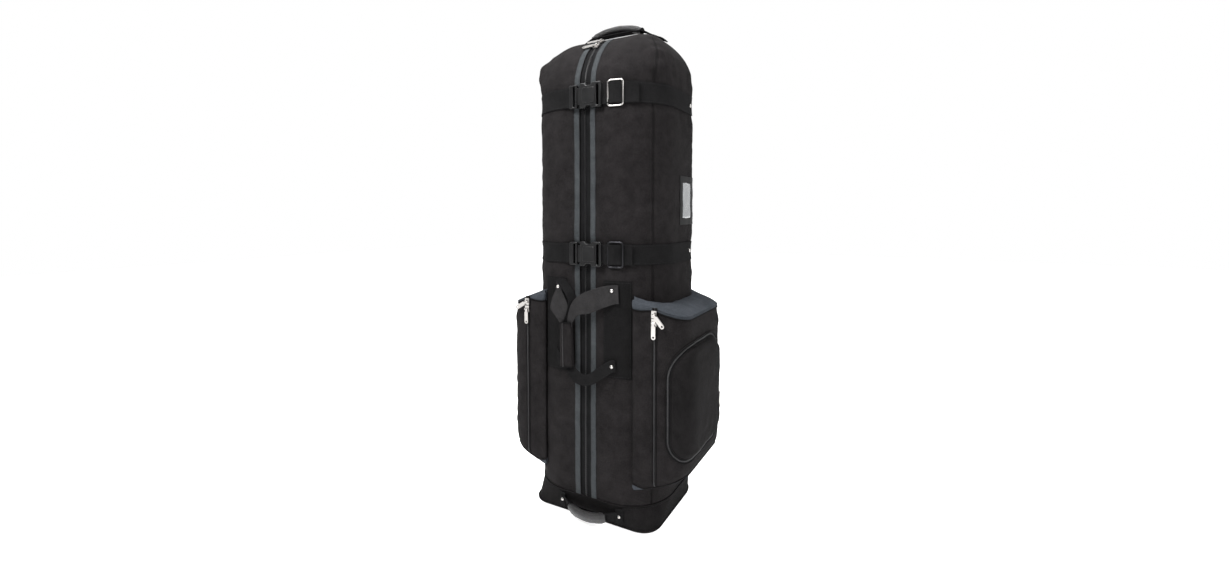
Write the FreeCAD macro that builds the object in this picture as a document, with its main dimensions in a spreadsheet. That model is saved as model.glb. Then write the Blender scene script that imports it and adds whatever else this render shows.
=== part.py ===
"""Golf travel case: soft upright case with side pockets, straps, handles and in-line wheels.

Frame: +X to the case's right, -Y out of the zippered front, +Z up.
Origin: centre of the base, on the plane that the skid rails stand on. Millimetres.
"""
import FreeCAD, Part
import Sketcher
import math
import os

from FreeCAD import Placement, Rotation, Vector

X_AXIS = Vector(1, 0, 0)
Y_AXIS = Vector(0, 1, 0)
Z_AXIS = Vector(0, 0, 1)
FAR = 2000.0

SIZES = {
    # case
    "case_width": 380, "case_depth": 340, "case_height": 1270,
    "corner_radius": 120, "shoulder_radius": 110, "wall": 4,
    "last_climb": 84, "dome_steps": 7, "seam_offset": 150, "crown_cut": 75,
    "padding_thickness": 12, "padding_start": 1010,
    # base
    "base_width": 366, "base_depth": 322, "base_corner_radius": 45, "base_rear_radius": 95,
    "boot_height": 62,
    "rail_height": 4, "rail_width": 20, "rail_length": 270, "rail_spacing": 110,
    "tray_thickness": 5, "tray_inset": 6.5,
    # wheels
    "wheel_radius": 30, "wheel_width": 24, "wheel_spacing": 216, "wheel_set_back": 168,
    "wheel_floor_gap": 3, "hub_radius": 17, "axle_radius": 4, "axle_clearance": 0.05,
    "housing_width": 40, "housing_wall": 4, "housing_height": 70, "housing_front": 132,
    "housing_back": 176, "tyre_edge": 6,
    # main zipper and trims
    "chain_width": 6, "gap_width": 32, "trim_width": 15, "trim_thickness": 1.2,
    # straps and buckles
    "strap_width": 50, "strap_thickness": 2, "upper_strap_level": 1087, "middle_strap_level": 693,
    "strap_end_depth": 78, "strap_left_end": 33, "strap_right_start": 54, "strap_tail_end": 141,
    "buckle_height": 62, "buckle_thickness": 12, "female_start": -8, "female_length": 61,
    "male_length": 30, "male_height": 58, "prong_length": 42, "prong_height": 10,
    "prong_offset": 17, "prong_thickness": 5, "socket_height": 48, "socket_thickness": 6,
    "socket_depth": 48, "release_window": 20, "release_window_start": 20,
    "ring_width": 46, "ring_height": 66, "ring_bar": 4.5, "ring_thickness": 3.2, "ring_start": 66,
    "rivet_radius": 5, "rivet_height": 2.4, "strap_rivet_depth": 59,
    # handles
    "handle_span": 208, "handle_rise": 28, "handle_strap_width": 20, "handle_strap_thickness": 3,
    "handle_strap_length": 176, "top_handle_level": 1275, "grip_length": 152, "grip_width": 30,
    "grip_height": 21, "anchor_inner": 91, "anchor_outer": 124, "anchor_width": 40,
    "anchor_thickness": 2.5,
    "foot_handle_level": 36, "foot_handle_depth": 171, "foot_handle_droop": 22,
    "foot_handle_span": 150, "foot_handle_rise": 26, "foot_handle_shift": 12, "foot_strap_length": 128,
    "foot_grip_length": 108, "foot_anchor_start": 66, "foot_anchor_length": 26,
    # carry handles
    "patch_inner": 54, "patch_outer": 125, "patch_bottom": 385, "patch_top": 628,
    "patch_thickness": 2, "stud_offset": 80, "stud_upper_level": 604, "stud_lower_level": 415,
    "wrap_left": -65, "wrap_right": -24, "wrap_bottom": 402, "wrap_top": 515,
    "wrap_front": 200, "webbing_front": 178.5, "webbing_back": 175.5,
    # identity card holder
    "holder_front": -20, "holder_back": 85, "holder_bottom": 765, "holder_top": 893,
    "holder_thickness": 2, "window_margin": 18,
    # side pockets
    "pocket_reach": 262, "pocket_front": 165, "pocket_back": 130, "pocket_front_radius": 67,
    "pocket_back_radius": 40, "pocket_inner": 132, "pocket_bottom_inner": 108, "pocket_bottom_outer": 155,
    "pocket_top_inner": 588, "pocket_top_outer": 545, "pocket_wall": 3, "pocket_zip_offset": 190,
    "pocket_zip_bottom": 142,
    "pocket_zip_top": 565, "pocket_zip_width": 6, "pocket_zip_thickness": 1.5,
    "upper_slider_level": 554, "lower_slider_level": 534,
    # small pocket on the right pocket
    "small_front": -156, "small_back": 84, "small_bottom": 204, "small_top": 472,
    "small_top_radius": 70, "small_bottom_radius": 45, "small_rise": 14, "small_wall": 2.5,
    "small_border": 8.5, "small_zip_thickness": 3, "small_slider_level": 300,
    "small_slider_offset": 7,
    # zip sliders and pulls
    "slider_width": 13, "slider_length": 18, "slider_plate": 3, "slider_lift": 0.5,
    "lug_gap": 6, "lug_thickness": 2, "lug_length": 5, "pin_radius": 1, "pin_lift": 6,
    "front_slider_angle": 48, "rear_slider_angle": 58, "main_pull_lean": 82, "side_pull_lean": 40,
    "pull_width": 11, "pull_length": 40, "pull_thickness": 2, "pull_eye_radius": 2.2,
    "pull_bore_radius": 1.08, "pull_hole_radius": 2.6, "pull_neck": 8,
}

doc = FreeCAD.newDocument("golf_travel_case")
sheet = doc.addObject("Spreadsheet::Sheet", "Sizes")
NODES = []


def fill_sheet():
    """Write every driving size in column B, with its alias."""
    for row, (alias, value) in enumerate(SIZES.items(), start=1):
        sheet.set(f"A{row}", alias)
        sheet.set(f"B{row}", str(value))
        sheet.setAlias(f"B{row}", alias)
    doc.recompute()


def size(alias):
    """Read one driving size back from the sheet."""
    return float(sheet.get(alias))


def register(piece, label):
    """Name a finished sub-part; its label is its file's name."""
    piece.Label = label
    NODES.append(piece)
    return piece


def shaped(label, shape, placement=None):
    """A sub-part whose form is worked out with Part's functions."""
    piece = doc.addObject("Part::Feature", label)
    piece.Shape = shape
    if placement is not None:
        piece.Placement = placement
    return register(piece, label)


def as_group(shapes):
    """Several loose solids of one node, each kept as a solid of its own."""
    solids = [solid for shape in shapes for solid in shape.Solids]
    return Part.makeCompound(solids)


def box(low, high):
    """A box between two corners."""
    span = Vector(*high) - Vector(*low)
    return Part.makeBox(span.x, span.y, span.z, Vector(*low))


def mirrored(shape):
    """The same shape on the other side of the case."""
    return shape.mirror(Vector(0, 0, 0), X_AXIS)


# ---------------------------------------------------------------- outlines


def rounded_rectangle(half_x, half_y, radius, level, rear_radius=None):
    """Closed wire of a rectangle with round corners, flat at one level."""
    wire_edges = []
    rear = radius if rear_radius is None else rear_radius
    corners = (
        (half_x - rear, half_y - rear, 0, rear),
        (rear - half_x, half_y - rear, 90, rear),
        (radius - half_x, radius - half_y, 180, radius),
        (half_x - radius, radius - half_y, 270, radius),
    )
    ends = []
    for centre_x, centre_y, start, bend in corners:
        centre = Vector(centre_x, centre_y, level)
        points = [
            centre + Vector(bend * math.cos(angle), bend * math.sin(angle), 0)
            for angle in (math.radians(start + turn) for turn in (0, 45, 90))
        ]
        ends.append((points[0], points[2]))
        wire_edges.append(Part.Arc(*points).toShape())
    for index, (_, last) in enumerate(ends):
        following = ends[(index + 1) % len(ends)][0]
        wire_edges.insert(2 * index + 1, Part.makeLine(last, following))
    return Part.Wire(wire_edges)


def case_outline(offset, level):
    """Plan of the case, moved out from its surface by an offset."""
    return rounded_rectangle(
        size("case_width") / 2 + offset,
        size("case_depth") / 2 + offset,
        size("corner_radius") + offset,
        level,
    )


def base_outline(offset, level):
    """Plan of the base, squarer at its front corners than the case above it."""
    return rounded_rectangle(
        size("base_width") / 2 + offset,
        size("base_depth") / 2 + offset,
        size("base_corner_radius") + offset,
        level,
        size("base_rear_radius") + offset,
    )


def arch_centre_level():
    """Height of the axis that the crown's arch is drawn about."""
    return size("case_height") - size("case_depth") / 2


def dome_outline(offset, climb):
    """Plan of the case at one climb up the crown's arch, from 0 at its foot to 90 at its top."""
    arch = size("case_depth") / 2 + offset
    shoulder = size("shoulder_radius") + offset
    level = arch_centre_level() + arch * math.sin(math.radians(climb))
    shoulder_centre = size("case_height") - size("shoulder_radius")
    above = max(0.0, level - shoulder_centre)
    shoulder_reach = math.sqrt(max(0.0, shoulder ** 2 - above ** 2))
    half_x = size("case_width") / 2 - size("shoulder_radius") + shoulder_reach
    narrowing = math.cos(math.radians(climb))
    if climb > size("last_climb") - 1:
        level = arch_centre_level() + arch
    radius = (size("corner_radius") + offset) * narrowing
    return rounded_rectangle(half_x, arch * narrowing, radius, level)


def case_form(offset):
    """Solid form of the case above the boot, moved out from its surface by an offset."""
    outlines = [case_outline(offset, size("boot_height"))]
    steps = int(size("dome_steps"))
    for step in range(steps + 1):
        outlines.append(dome_outline(offset, size("last_climb") * step / steps))
    return Part.makeLoft(outlines, True, True)


def layer(inner, outer):
    """Skin of the case between two offsets from its surface."""
    return case_form(outer).cut(case_form(inner))


def handle_arc(span, rise, width, height, corner, length):
    """A bowed bar of rounded section, in the handle's own frame.

    The handle's hinge line is the local X axis, and the bow rises along local Z.
    """
    half_span = span / 2
    bend = (half_span ** 2 + rise ** 2) / (2 * rise)
    sweep = math.degrees(math.asin(length / 2 / bend))
    centre = Vector(0, 0, rise - bend)
    section = Part.Face(rounded_rectangle(height / 2, width / 2, corner, 0))
    section.rotate(Vector(0, 0, 0), Y_AXIS, 90)
    section.translate(Z_AXIS * rise)
    section.rotate(centre, Y_AXIS, -sweep)
    return section.revolve(centre, Y_AXIS, 2 * sweep)


# ---------------------------------------------------------------- fabric shell


def wheel_wells():
    """Blocks that the wheel housings fill, at the lower back corners."""
    half = size("housing_width") / 2
    blocks = []
    for side in (-1, 1):
        centre = side * size("wheel_spacing") / 2
        blocks.append(box((centre - half, size("housing_front"), size("rail_height")),
                          (centre + half, size("housing_back"), size("housing_height"))))
    return as_group(blocks)


def make_shell_panels():
    """Five sewn fabric panels: two front, two side and one that runs over the crown."""
    skin = layer(-size("wall"), 0)
    seam = size("seam_offset")
    cut = size("crown_cut")
    gap = size("gap_width") / 2
    for side, name in ((1, "right"), (-1, "left")):
        low, high = sorted((side * gap, side * seam))
        front = skin.common(box((low, -FAR, 0), (high, -cut, FAR)))
        shaped(f"front_{name}_panel", front)
        low, high = sorted((side * seam, side * FAR))
        shaped(f"{name}_side_panel", skin.common(box((low, -FAR, 0), (high, FAR, FAR))))
    back = skin.common(box((-seam, -cut, 0), (seam, FAR, FAR)))
    shaped("back_panel", back.cut(wheel_wells()))


def make_base():
    """Fabric boot, moulded tray and the rails that the case stands on."""
    floor_gap = size("rail_height")
    height = size("boot_height")
    wall = size("wall")
    outer = Part.makeLoft([base_outline(0, floor_gap), case_outline(0, height)], True, True)
    inner = Part.makeLoft([base_outline(-wall, floor_gap), case_outline(-wall, height)], True, True)
    shaped("base_boot", outer.cut(inner).cut(wheel_wells()))

    plate = Part.Face(base_outline(-size("tray_inset"), floor_gap))
    plate = plate.extrude(Z_AXIS * size("tray_thickness"))
    shaped("base_tray", plate.cut(wheel_wells()))

    rails = []
    for offset in (-size("rail_spacing"), 0, size("rail_spacing")):
        half_width = size("rail_width") / 2
        half_length = size("rail_length") / 2
        rail = box((offset - half_width, -half_length - 8, 0),
                   (offset + half_width, half_length - 8, floor_gap))
        ends = [edge for edge in rail.Edges
                if edge.BoundBox.ZMax < 0.01 and edge.BoundBox.YLength < 0.01]
        rails.append(rail.makeChamfer(floor_gap / 2, ends))
    shaped("skid_rails", as_group(rails))


def make_crown_padding():
    """Foam that protects the club heads, inside the top of the case."""
    wall = size("wall")
    foam = layer(-wall - size("padding_thickness"), -wall)
    shaped("crown_padding", foam.common(box((-FAR, -FAR, size("padding_start")), (FAR, FAR, FAR))))


def make_main_zipper():
    """Tapes, closed chain and the pale trims that edge the zipper."""
    half_chain = size("chain_width") / 2
    half_gap = size("gap_width") / 2
    trim_end = half_gap + size("trim_width")
    cut = size("crown_cut")

    def front_strip(skin, near, far):
        return skin.common(box((near, -FAR, 0), (far, -cut, FAR)))

    tape = layer(-2.0, -0.8)
    shaped("zipper_tapes", as_group([
        front_strip(tape, -half_gap, -half_chain), front_strip(tape, half_chain, half_gap)]))
    shaped("zipper_chain", front_strip(layer(-2.6, 0.8), -half_chain, half_chain))
    trim = layer(0, size("trim_thickness"))
    shaped("zipper_trims", as_group([
        front_strip(trim, -trim_end, -half_gap), front_strip(trim, half_gap, trim_end)]))


# ---------------------------------------------------------------- straps and buckles


def strap_levels():
    """Heights of the two compression straps."""
    return (("upper", size("upper_strap_level")), ("middle", size("middle_strap_level")))


def make_straps():
    """Compression webbing, riveted to the sides and drawn to the buckles in front."""
    inner = size("trim_thickness")
    outer = inner + size("strap_thickness")
    webbing = layer(inner, outer)
    tail_layer = layer(outer, outer + size("strap_thickness"))
    half = size("strap_width") / 2
    depth = size("strap_end_depth")
    left_pieces = []
    right_pieces = []
    for _, level in strap_levels():
        low, high = level - half, level + half
        left_end = -size("strap_left_end")
        left_pieces.append(webbing.common(box((-FAR, -FAR, low), (left_end, depth, high))))
        start = size("strap_right_start")
        band = webbing.common(box((start, -FAR, low), (FAR, depth, high)))
        tail = tail_layer.common(box((start + 16, -FAR, low), (size("strap_tail_end"), 0, high)))
        right_pieces.append(band.fuse(tail).removeSplitter())
    shaped("left_straps", as_group(left_pieces))
    shaped("right_straps", as_group(right_pieces))

    rivets = []
    for _, level in strap_levels():
        for side in (-1, 1):
            reach = size("case_width") / 2 + outer - 1.2
            rivet = Part.makeCone(size("rivet_radius"), size("rivet_radius") * 0.6,
                                  size("rivet_height") + 1.2,
                                  Vector(side * reach, size("strap_rivet_depth"), level),
                                  Vector(side, 0, 0))
            rivets.append(rivet.cut(case_form(outer)))
    shaped("strap_rivets", as_group(rivets))


def rectangle_sketch(body, name, plane_role, width, height, left="0 mm", bottom="0 mm"):
    """Sketch of a rectangle on one of the body's planes, sized by expressions."""
    sketch = body.newObject("Sketcher::SketchObject", name)
    plane = [item for item in body.Origin.OriginFeatures if item.Role == plane_role][0]
    sketch.AttachmentSupport = [(plane, "")]
    sketch.MapMode = "FlatFace"
    corners = [Vector(1, 1, 0), Vector(9, 1, 0), Vector(9, 9, 0), Vector(1, 9, 0)]
    for index, corner in enumerate(corners):
        sketch.addGeometry(Part.LineSegment(corner, corners[(index + 1) % 4]), False)
    for index in range(4):
        sketch.addConstraint(Sketcher.Constraint("Coincident", index, 2, (index + 1) % 4, 1))
    for index, kind in enumerate(("Horizontal", "Vertical", "Horizontal", "Vertical")):
        sketch.addConstraint(Sketcher.Constraint(kind, index))
    limits = (
        ("width", Sketcher.Constraint("DistanceX", 0, 1, 0, 2, 8.0), width),
        ("height", Sketcher.Constraint("DistanceY", 1, 1, 1, 2, 8.0), height),
        ("left", Sketcher.Constraint("DistanceX", -1, 1, 0, 1, 1.0), left),
        ("bottom", Sketcher.Constraint("DistanceY", -1, 1, 0, 1, 1.0), bottom),
    )
    for label, constraint, expression in limits:
        index = sketch.addConstraint(constraint)
        sketch.renameConstraint(index, label)
        sketch.setExpression(f"Constraints.{label}", expression)
    return sketch


def pad(body, sketch, length, offset=None, midplane=False):
    """Pad a sketch by an expression, optionally both ways."""
    feature = body.newObject("PartDesign::Pad", sketch.Name + "_pad")
    feature.Profile = sketch
    feature.SideType = "Symmetric" if midplane else "One side"
    feature.setExpression("Length", length)
    if offset is not None:
        sketch.setExpression("AttachmentOffset.Base.z", offset)
    return feature


def pocket(body, sketch):
    """Cut a sketch through the whole body, both ways."""
    feature = body.newObject("PartDesign::Pocket", sketch.Name + "_pocket")
    feature.Profile = sketch
    feature.SideType = "Symmetric"
    feature.Type = "ThroughAll"
    return feature


def make_buckles():
    """Side-release buckles: two bodies in one node, and a catch on each left strap."""
    front = size("case_depth") / 2 + size("trim_thickness") + size("strap_thickness") + 0.8
    body = doc.addObject("PartDesign::Body", "buckle_body")
    block = rectangle_sketch(body, "block", "XZ_Plane", "Sizes.female_length",
                             "Sizes.buckle_height", "Sizes.female_start",
                             "-Sizes.buckle_height / 2")
    pad(body, block, "Sizes.buckle_thickness")
    window = rectangle_sketch(body, "release_windows", "XY_Plane", "Sizes.release_window",
                              "Sizes.socket_thickness", "Sizes.release_window_start",
                              "-(Sizes.buckle_thickness + Sizes.socket_thickness) / 2")
    pocket(body, window)
    socket = rectangle_sketch(body, "socket", "XZ_Plane", "Sizes.socket_depth",
                              "Sizes.socket_height", "Sizes.female_start",
                              "-Sizes.socket_height / 2")
    cavity = body.newObject("PartDesign::Pocket", "socket_pocket")
    cavity.Profile = socket
    cavity.Reversed = True
    cavity.setExpression("Length", "Sizes.socket_thickness")
    socket.setExpression("AttachmentOffset.Base.z",
                         "(Sizes.buckle_thickness - Sizes.socket_thickness) / 2")
    doc.recompute()
    copies = []
    for _, level in strap_levels():
        copy = body.Shape.copy()
        copy.translate(Vector(0, -front, level))
        copies.append(copy)
    shaped("buckle_bodies", as_group(copies))

    for name, level in strap_levels():
        catch = doc.addObject("PartDesign::Body", f"{name}_buckle_catch")
        bar = rectangle_sketch(catch, f"{name}_bar", "XZ_Plane", "Sizes.male_length",
                               "Sizes.male_height", "Sizes.female_start - 1.5 - Sizes.male_length",
                               "-Sizes.male_height / 2")
        pad(catch, bar, "Sizes.buckle_thickness - 2", "1")
        slot = rectangle_sketch(catch, f"{name}_slot", "XZ_Plane", "7", "Sizes.strap_width + 1",
                                "Sizes.female_start - 1.5 - Sizes.male_length + 5",
                                "-(Sizes.strap_width + 1) / 2")
        pocket(catch, slot)
        for number, offset in enumerate(("Sizes.prong_offset", "-Sizes.prong_offset")):
            prong = rectangle_sketch(catch, f"{name}_prong_{number}", "XZ_Plane",
                                     "Sizes.prong_length", "Sizes.prong_height",
                                     "Sizes.female_start - 2",
                                     f"{offset} - Sizes.prong_height / 2")
            pad(catch, prong, "Sizes.prong_thickness",
                "(Sizes.buckle_thickness - Sizes.prong_thickness) / 2")
        catch.Placement = Placement(Vector(0, -front, level), Rotation())
        register(catch, f"{name}_buckle_catch")

    for name, level in strap_levels():
        ring = doc.addObject("PartDesign::Body", f"{name}_adjuster_ring")
        frame = rectangle_sketch(ring, f"{name}_ring_frame", "XZ_Plane", "Sizes.ring_width",
                                 "Sizes.ring_height", "0 mm", "-Sizes.ring_height / 2")
        pad(ring, frame, "Sizes.ring_thickness")
        window = rectangle_sketch(ring, f"{name}_ring_window", "XZ_Plane",
                                  "Sizes.ring_width - 2 * Sizes.ring_bar",
                                  "Sizes.ring_height - 2 * Sizes.ring_bar",
                                  "Sizes.ring_bar", "Sizes.ring_bar - Sizes.ring_height / 2")
        pocket(ring, window)
        ring.Placement = Placement(
            Vector(size("ring_start"), -front - 2.2, level), Rotation(Z_AXIS, 8))
        register(ring, f"{name}_adjuster_ring")


# ---------------------------------------------------------------- handles


def make_handle(name, span, rise, strap_length, grip_length, place):
    """One webbing strap through its padded grip."""
    strap = handle_arc(span, rise, size("handle_strap_width"), size("handle_strap_thickness"), 1.2,
                       strap_length)
    grip = handle_arc(span, rise, size("grip_width"), size("grip_height"), 9, grip_length)
    shaped(f"{name}_handle_strap", strap, place)
    shaped(f"{name}_handle_grip", grip.cut(strap), place)


def make_handles():
    """Top handle and the shorter foot handle, with their anchor tabs."""
    make_handle("top", size("handle_span"), size("handle_rise"), size("handle_strap_length"),
                size("grip_length"),
                Placement(Vector(0, 0, size("top_handle_level")), Rotation()))
    shift = size("foot_handle_shift")
    level = size("foot_handle_level")
    make_handle("foot", size("foot_handle_span"), size("foot_handle_rise"), size("foot_strap_length"),
                size("foot_grip_length"),
                Placement(Vector(shift, -size("foot_handle_depth"), level),
                          Rotation(X_AXIS, 90 + size("foot_handle_droop"))))

    inner, outer = size("anchor_inner"), size("anchor_outer")
    half = size("anchor_width") / 2
    crown_tab = layer(0, size("anchor_thickness")).common(
        box((inner, -half, size("case_height") - 60), (outer, half, FAR)))
    depth = size("base_depth") / 2
    start = size("foot_anchor_start")
    end = start + size("foot_anchor_length")
    tabs = [crown_tab, mirrored(crown_tab)]
    for near, far in ((shift - end, shift - start), (shift + start, shift + end)):
        tab = box((near, -depth - 7, level - 16), (far, -depth + 12, level + 16))
        tabs.append(tab.cut(boot_block()))
    shaped("handle_anchors", as_group(tabs))


def boot_block():
    """Solid form of the boot."""
    return Part.makeLoft(
        [base_outline(0, size("rail_height")), case_outline(0, size("boot_height"))], True, True)


def plate(points):
    """Flat webbing of one outline, standing off the front of the case."""
    outline = Part.makePolygon([Vector(x, -size("webbing_back"), z) for x, z in points + points[:1]])
    lift = size("webbing_front") - size("webbing_back")
    return Part.Face(outline).extrude(-Y_AXIS * lift)


def make_carry_handles():
    """Reinforcing patches, webbing loops, the wrap that gathers them, and the studs."""
    skin = layer(0, size("patch_thickness"))
    patch = skin.common(box((size("patch_inner"), -FAR, size("patch_bottom")),
                            (size("patch_outer"), 0, size("patch_top"))))
    shaped("carry_patches", as_group([patch, mirrored(patch)]))

    left, right = size("wrap_left"), size("wrap_right")
    low, high = size("wrap_bottom"), size("wrap_top")
    wrap = box((left, -size("wrap_front"), low), (right, -size("webbing_front"), high))
    upright = [edge for edge in wrap.Edges
               if edge.BoundBox.ZLength > 50 and edge.BoundBox.YMin < -size("wrap_front") + 1]
    shaped("carry_grip_wrap", wrap.makeFillet(7, upright))

    stud = size("stud_offset")
    upper, lower = size("stud_upper_level"), size("stud_lower_level")
    lap = 16
    diamond = plate([(-stud - 8, upper + 12), (-stud + 10, upper + 12), (right - 10, upper - 40),
                     (right - 8, high - lap), (left + 4, high - lap), (-stud - 12, upper - 36)])
    tuck = plate([(-stud - 12, lower + 10), (left + 2, low + lap), (right - 12, low + lap),
                  (right - 22, low - 8), (-stud - 12, lower - 16)])
    shaped("left_carry_webbing", as_group([diamond, tuck]))
    sweep = plate([(stud - 26, upper + 14), (stud + 16, upper + 14), (stud + 16, upper - 22),
                   (stud - 22, upper - 26), (stud - 62, upper - 54), (right - 2, high - lap),
                   (right - 7.5, high - lap), (right - 9.5, upper - 40), (right + 4, upper - 26)])
    loop = plate([(right - 11.5, low + lap), (right - 2, low + lap), (-6, low - 16),
                  (18, low - 18), (stud - 16, lower + 14), (stud + 14, lower + 14),
                  (stud + 14, lower - 16), (stud - 26, lower - 20), (22, low - 48),
                  (-8, low - 48), (right - 21.5, low - 8.5)])
    shaped("right_carry_webbing", as_group([sweep, loop]))

    studs = []
    for x, z in ((-stud, upper), (stud, upper), (stud, lower)):
        studs.append(Part.makeCone(size("rivet_radius"), size("rivet_radius") * 0.6,
                                   size("rivet_height"), Vector(x, -size("webbing_front"), z),
                                   -Y_AXIS))
    shaped("carry_studs", as_group(studs))


# ---------------------------------------------------------------- card holder


def make_card_holder():
    """Vinyl frame with a clear window, sewn on the right side."""
    margin = size("window_margin")
    front, back = size("holder_front"), size("holder_back")
    low, high = size("holder_bottom"), size("holder_top")
    patch = box((0, front, low), (FAR, back, high))
    opening = box((0, front + margin, low + margin), (FAR, back - margin * 1.6, high - margin))
    shaped("card_holder_frame", layer(0, size("holder_thickness")).common(patch).cut(opening))
    shaped("card_holder_window", layer(0.2, 1.2).common(opening))


# ---------------------------------------------------------------- side pockets


def pocket_plan(inset):
    """Plan of the right pocket as a tall prism, its walls moved in by an inset."""
    front = -size("pocket_front") + inset
    back = size("pocket_back") - inset
    reach = size("pocket_reach") - inset
    inner = size("pocket_inner") + inset
    front_radius = size("pocket_front_radius") - inset
    back_radius = size("pocket_back_radius") - inset
    diagonal = math.sqrt(0.5)

    def corner(centre_x, centre_y, radius, sign):
        return Part.Arc(
            Vector(centre_x, centre_y + sign * radius, 0),
            Vector(centre_x + radius * diagonal, centre_y + sign * radius * diagonal, 0),
            Vector(centre_x + radius, centre_y, 0),
        ).toShape()

    front_arc = corner(reach - front_radius, front + front_radius, front_radius, -1)
    back_arc = corner(reach - back_radius, back - back_radius, back_radius, 1)
    inner_side = Part.makePolygon([
        Vector(reach - back_radius, back, 0), Vector(inner, back, 0),
        Vector(inner, front, 0), Vector(reach - front_radius, front, 0)])
    outer_side = Part.makeLine(
        Vector(reach, front + front_radius, 0), Vector(reach, back - back_radius, 0))
    outline = Part.Wire(Part.sortEdges(inner_side.Edges + [front_arc, outer_side, back_arc])[0])
    return Part.Face(outline).extrude(Z_AXIS * size("case_height"))


def pocket_profile(inset):
    """Height of the right pocket, with its sloping top and bottom, as a prism from front to back."""
    inner, reach = size("pocket_inner"), size("pocket_reach")
    top = size("pocket_top_inner") - inset
    bottom = size("pocket_bottom_inner") + inset
    fall = (size("pocket_top_outer") - size("pocket_top_inner")) / (reach - inner)
    climb = (size("pocket_bottom_outer") - size("pocket_bottom_inner")) / (reach - inner)
    spare = 60
    outline = Part.makePolygon([
        Vector(inner - spare, -FAR, bottom - climb * spare),
        Vector(reach + spare, -FAR, bottom + climb * (reach + spare - inner)),
        Vector(reach + spare, -FAR, top + fall * (reach + spare - inner)),
        Vector(inner - spare, -FAR, top - fall * spare),
        Vector(inner - spare, -FAR, bottom - climb * spare),
    ])
    return Part.Face(outline).extrude(Y_AXIS * 2 * FAR)


def make_side_pockets():
    """Pocket walls, pale top and bottom panels, and the zippers down their front gussets."""
    case = case_form(0)
    wall = size("pocket_wall")
    block = pocket_plan(0).common(pocket_profile(0)).cut(case)
    middle = pocket_profile(wall)
    lids = sorted(block.cut(middle).Solids, key=lambda solid: solid.CenterOfMass.z)
    shell = block.common(middle).cut(pocket_plan(wall))
    shaped("right_pocket_panel", shell)
    shaped("left_pocket_panel", mirrored(shell))
    shaped("right_pocket_top", lids[-1])
    shaped("left_pocket_top", mirrored(lids[-1]))
    shaped("pocket_bottoms", as_group([lids[0], mirrored(lids[0])]))

    offset = size("pocket_zip_offset")
    half = size("pocket_zip_width") / 2
    front = size("pocket_front")
    strip = box((offset - half, -front - size("pocket_zip_thickness"), size("pocket_zip_bottom")),
                (offset + half, -front, size("pocket_zip_top")))
    shaped("pocket_zippers", as_group([strip, mirrored(strip)]))


def small_pocket_outline(inset):
    """Arched outline of the small pocket, seen from the right, as a prism along X."""
    front, back = size("small_front") + inset, size("small_back") - inset
    low, high = size("small_bottom") + inset, size("small_top") - inset
    block = box((190, front, low), (FAR, back, high))
    length_edges = [edge for edge in block.Edges if edge.BoundBox.XLength > 100]
    top_edges = [edge for edge in length_edges if edge.BoundBox.ZMin > high - 1]
    rounded = block.makeFillet(size("small_top_radius") - inset, top_edges)
    bottom_edges = [edge for edge in rounded.Edges
                    if edge.BoundBox.XLength > 100 and edge.BoundBox.ZMax < low + 1
                    and edge.BoundBox.YLength < 0.01]
    return rounded.makeFillet(size("small_bottom_radius") - inset, bottom_edges)


def make_small_pocket():
    """Expanding pocket on the right pocket's outer face, with its arched zipper border."""
    rise = size("small_rise")
    wall = size("small_wall")
    right_pocket = pocket_plan(0)
    raised = pocket_plan(-rise).common(small_pocket_outline(0))
    hollow = pocket_plan(wall - rise).common(small_pocket_outline(wall))
    shaped("small_pocket_panel", raised.cut(hollow).cut(right_pocket))
    border = small_pocket_outline(-size("small_border")).cut(small_pocket_outline(0))
    band = pocket_plan(-size("small_zip_thickness")).cut(right_pocket)
    shaped("small_pocket_zipper", band.common(border))


# ---------------------------------------------------------------- zip sliders


def primitive(kind, name, sizes, position=None):
    """One Part primitive whose sizes are bound to the sheet."""
    item = doc.addObject(kind, name)
    for key, expression in sizes.items():
        item.setExpression(key, expression)
    if position is not None:
        for axis, expression in zip("xyz", position):
            item.setExpression(f"Placement.Base.{axis}", expression)
    return item


def make_slider(label, place, lean):
    """Slider body: a plate over the chain with two lugs and the pin that its pull hangs on.

    Local frame: the chain runs along Z, outward is -Y, and the lugs turn by the lean.
    """
    plate_box = primitive("Part::Box", f"{label}_plate", {
        "Length": "Sizes.slider_width", "Width": "Sizes.slider_plate",
        "Height": "Sizes.slider_length",
    }, ("-Sizes.slider_width / 2", "-Sizes.slider_lift - Sizes.slider_plate",
        "-Sizes.slider_length / 2"))
    plate_top = size("slider_lift") + size("slider_plate")
    lug_height = size("pin_lift") + size("pin_radius") + 1 - plate_top
    half_gap = size("lug_gap") / 2
    half_length = size("lug_length") / 2
    thickness = size("lug_thickness")
    lugs = [
        box((start, -plate_top - lug_height, -half_length), (start + thickness, -plate_top, half_length))
        for start in (half_gap, -half_gap - thickness)
    ]
    reach = half_gap + thickness
    pin = Part.makeCylinder(size("pin_radius"), 2 * reach,
                            Vector(-reach, -size("pin_lift"), 0), X_AXIS)
    doc.recompute()
    hanger = lugs[0].fuse([lugs[1], pin])
    hanger.rotate(Vector(0, 0, 0), Y_AXIS, lean)
    shaped(label, plate_box.Shape.fuse(hanger), place)
    doc.removeObject(plate_box.Name)


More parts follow.
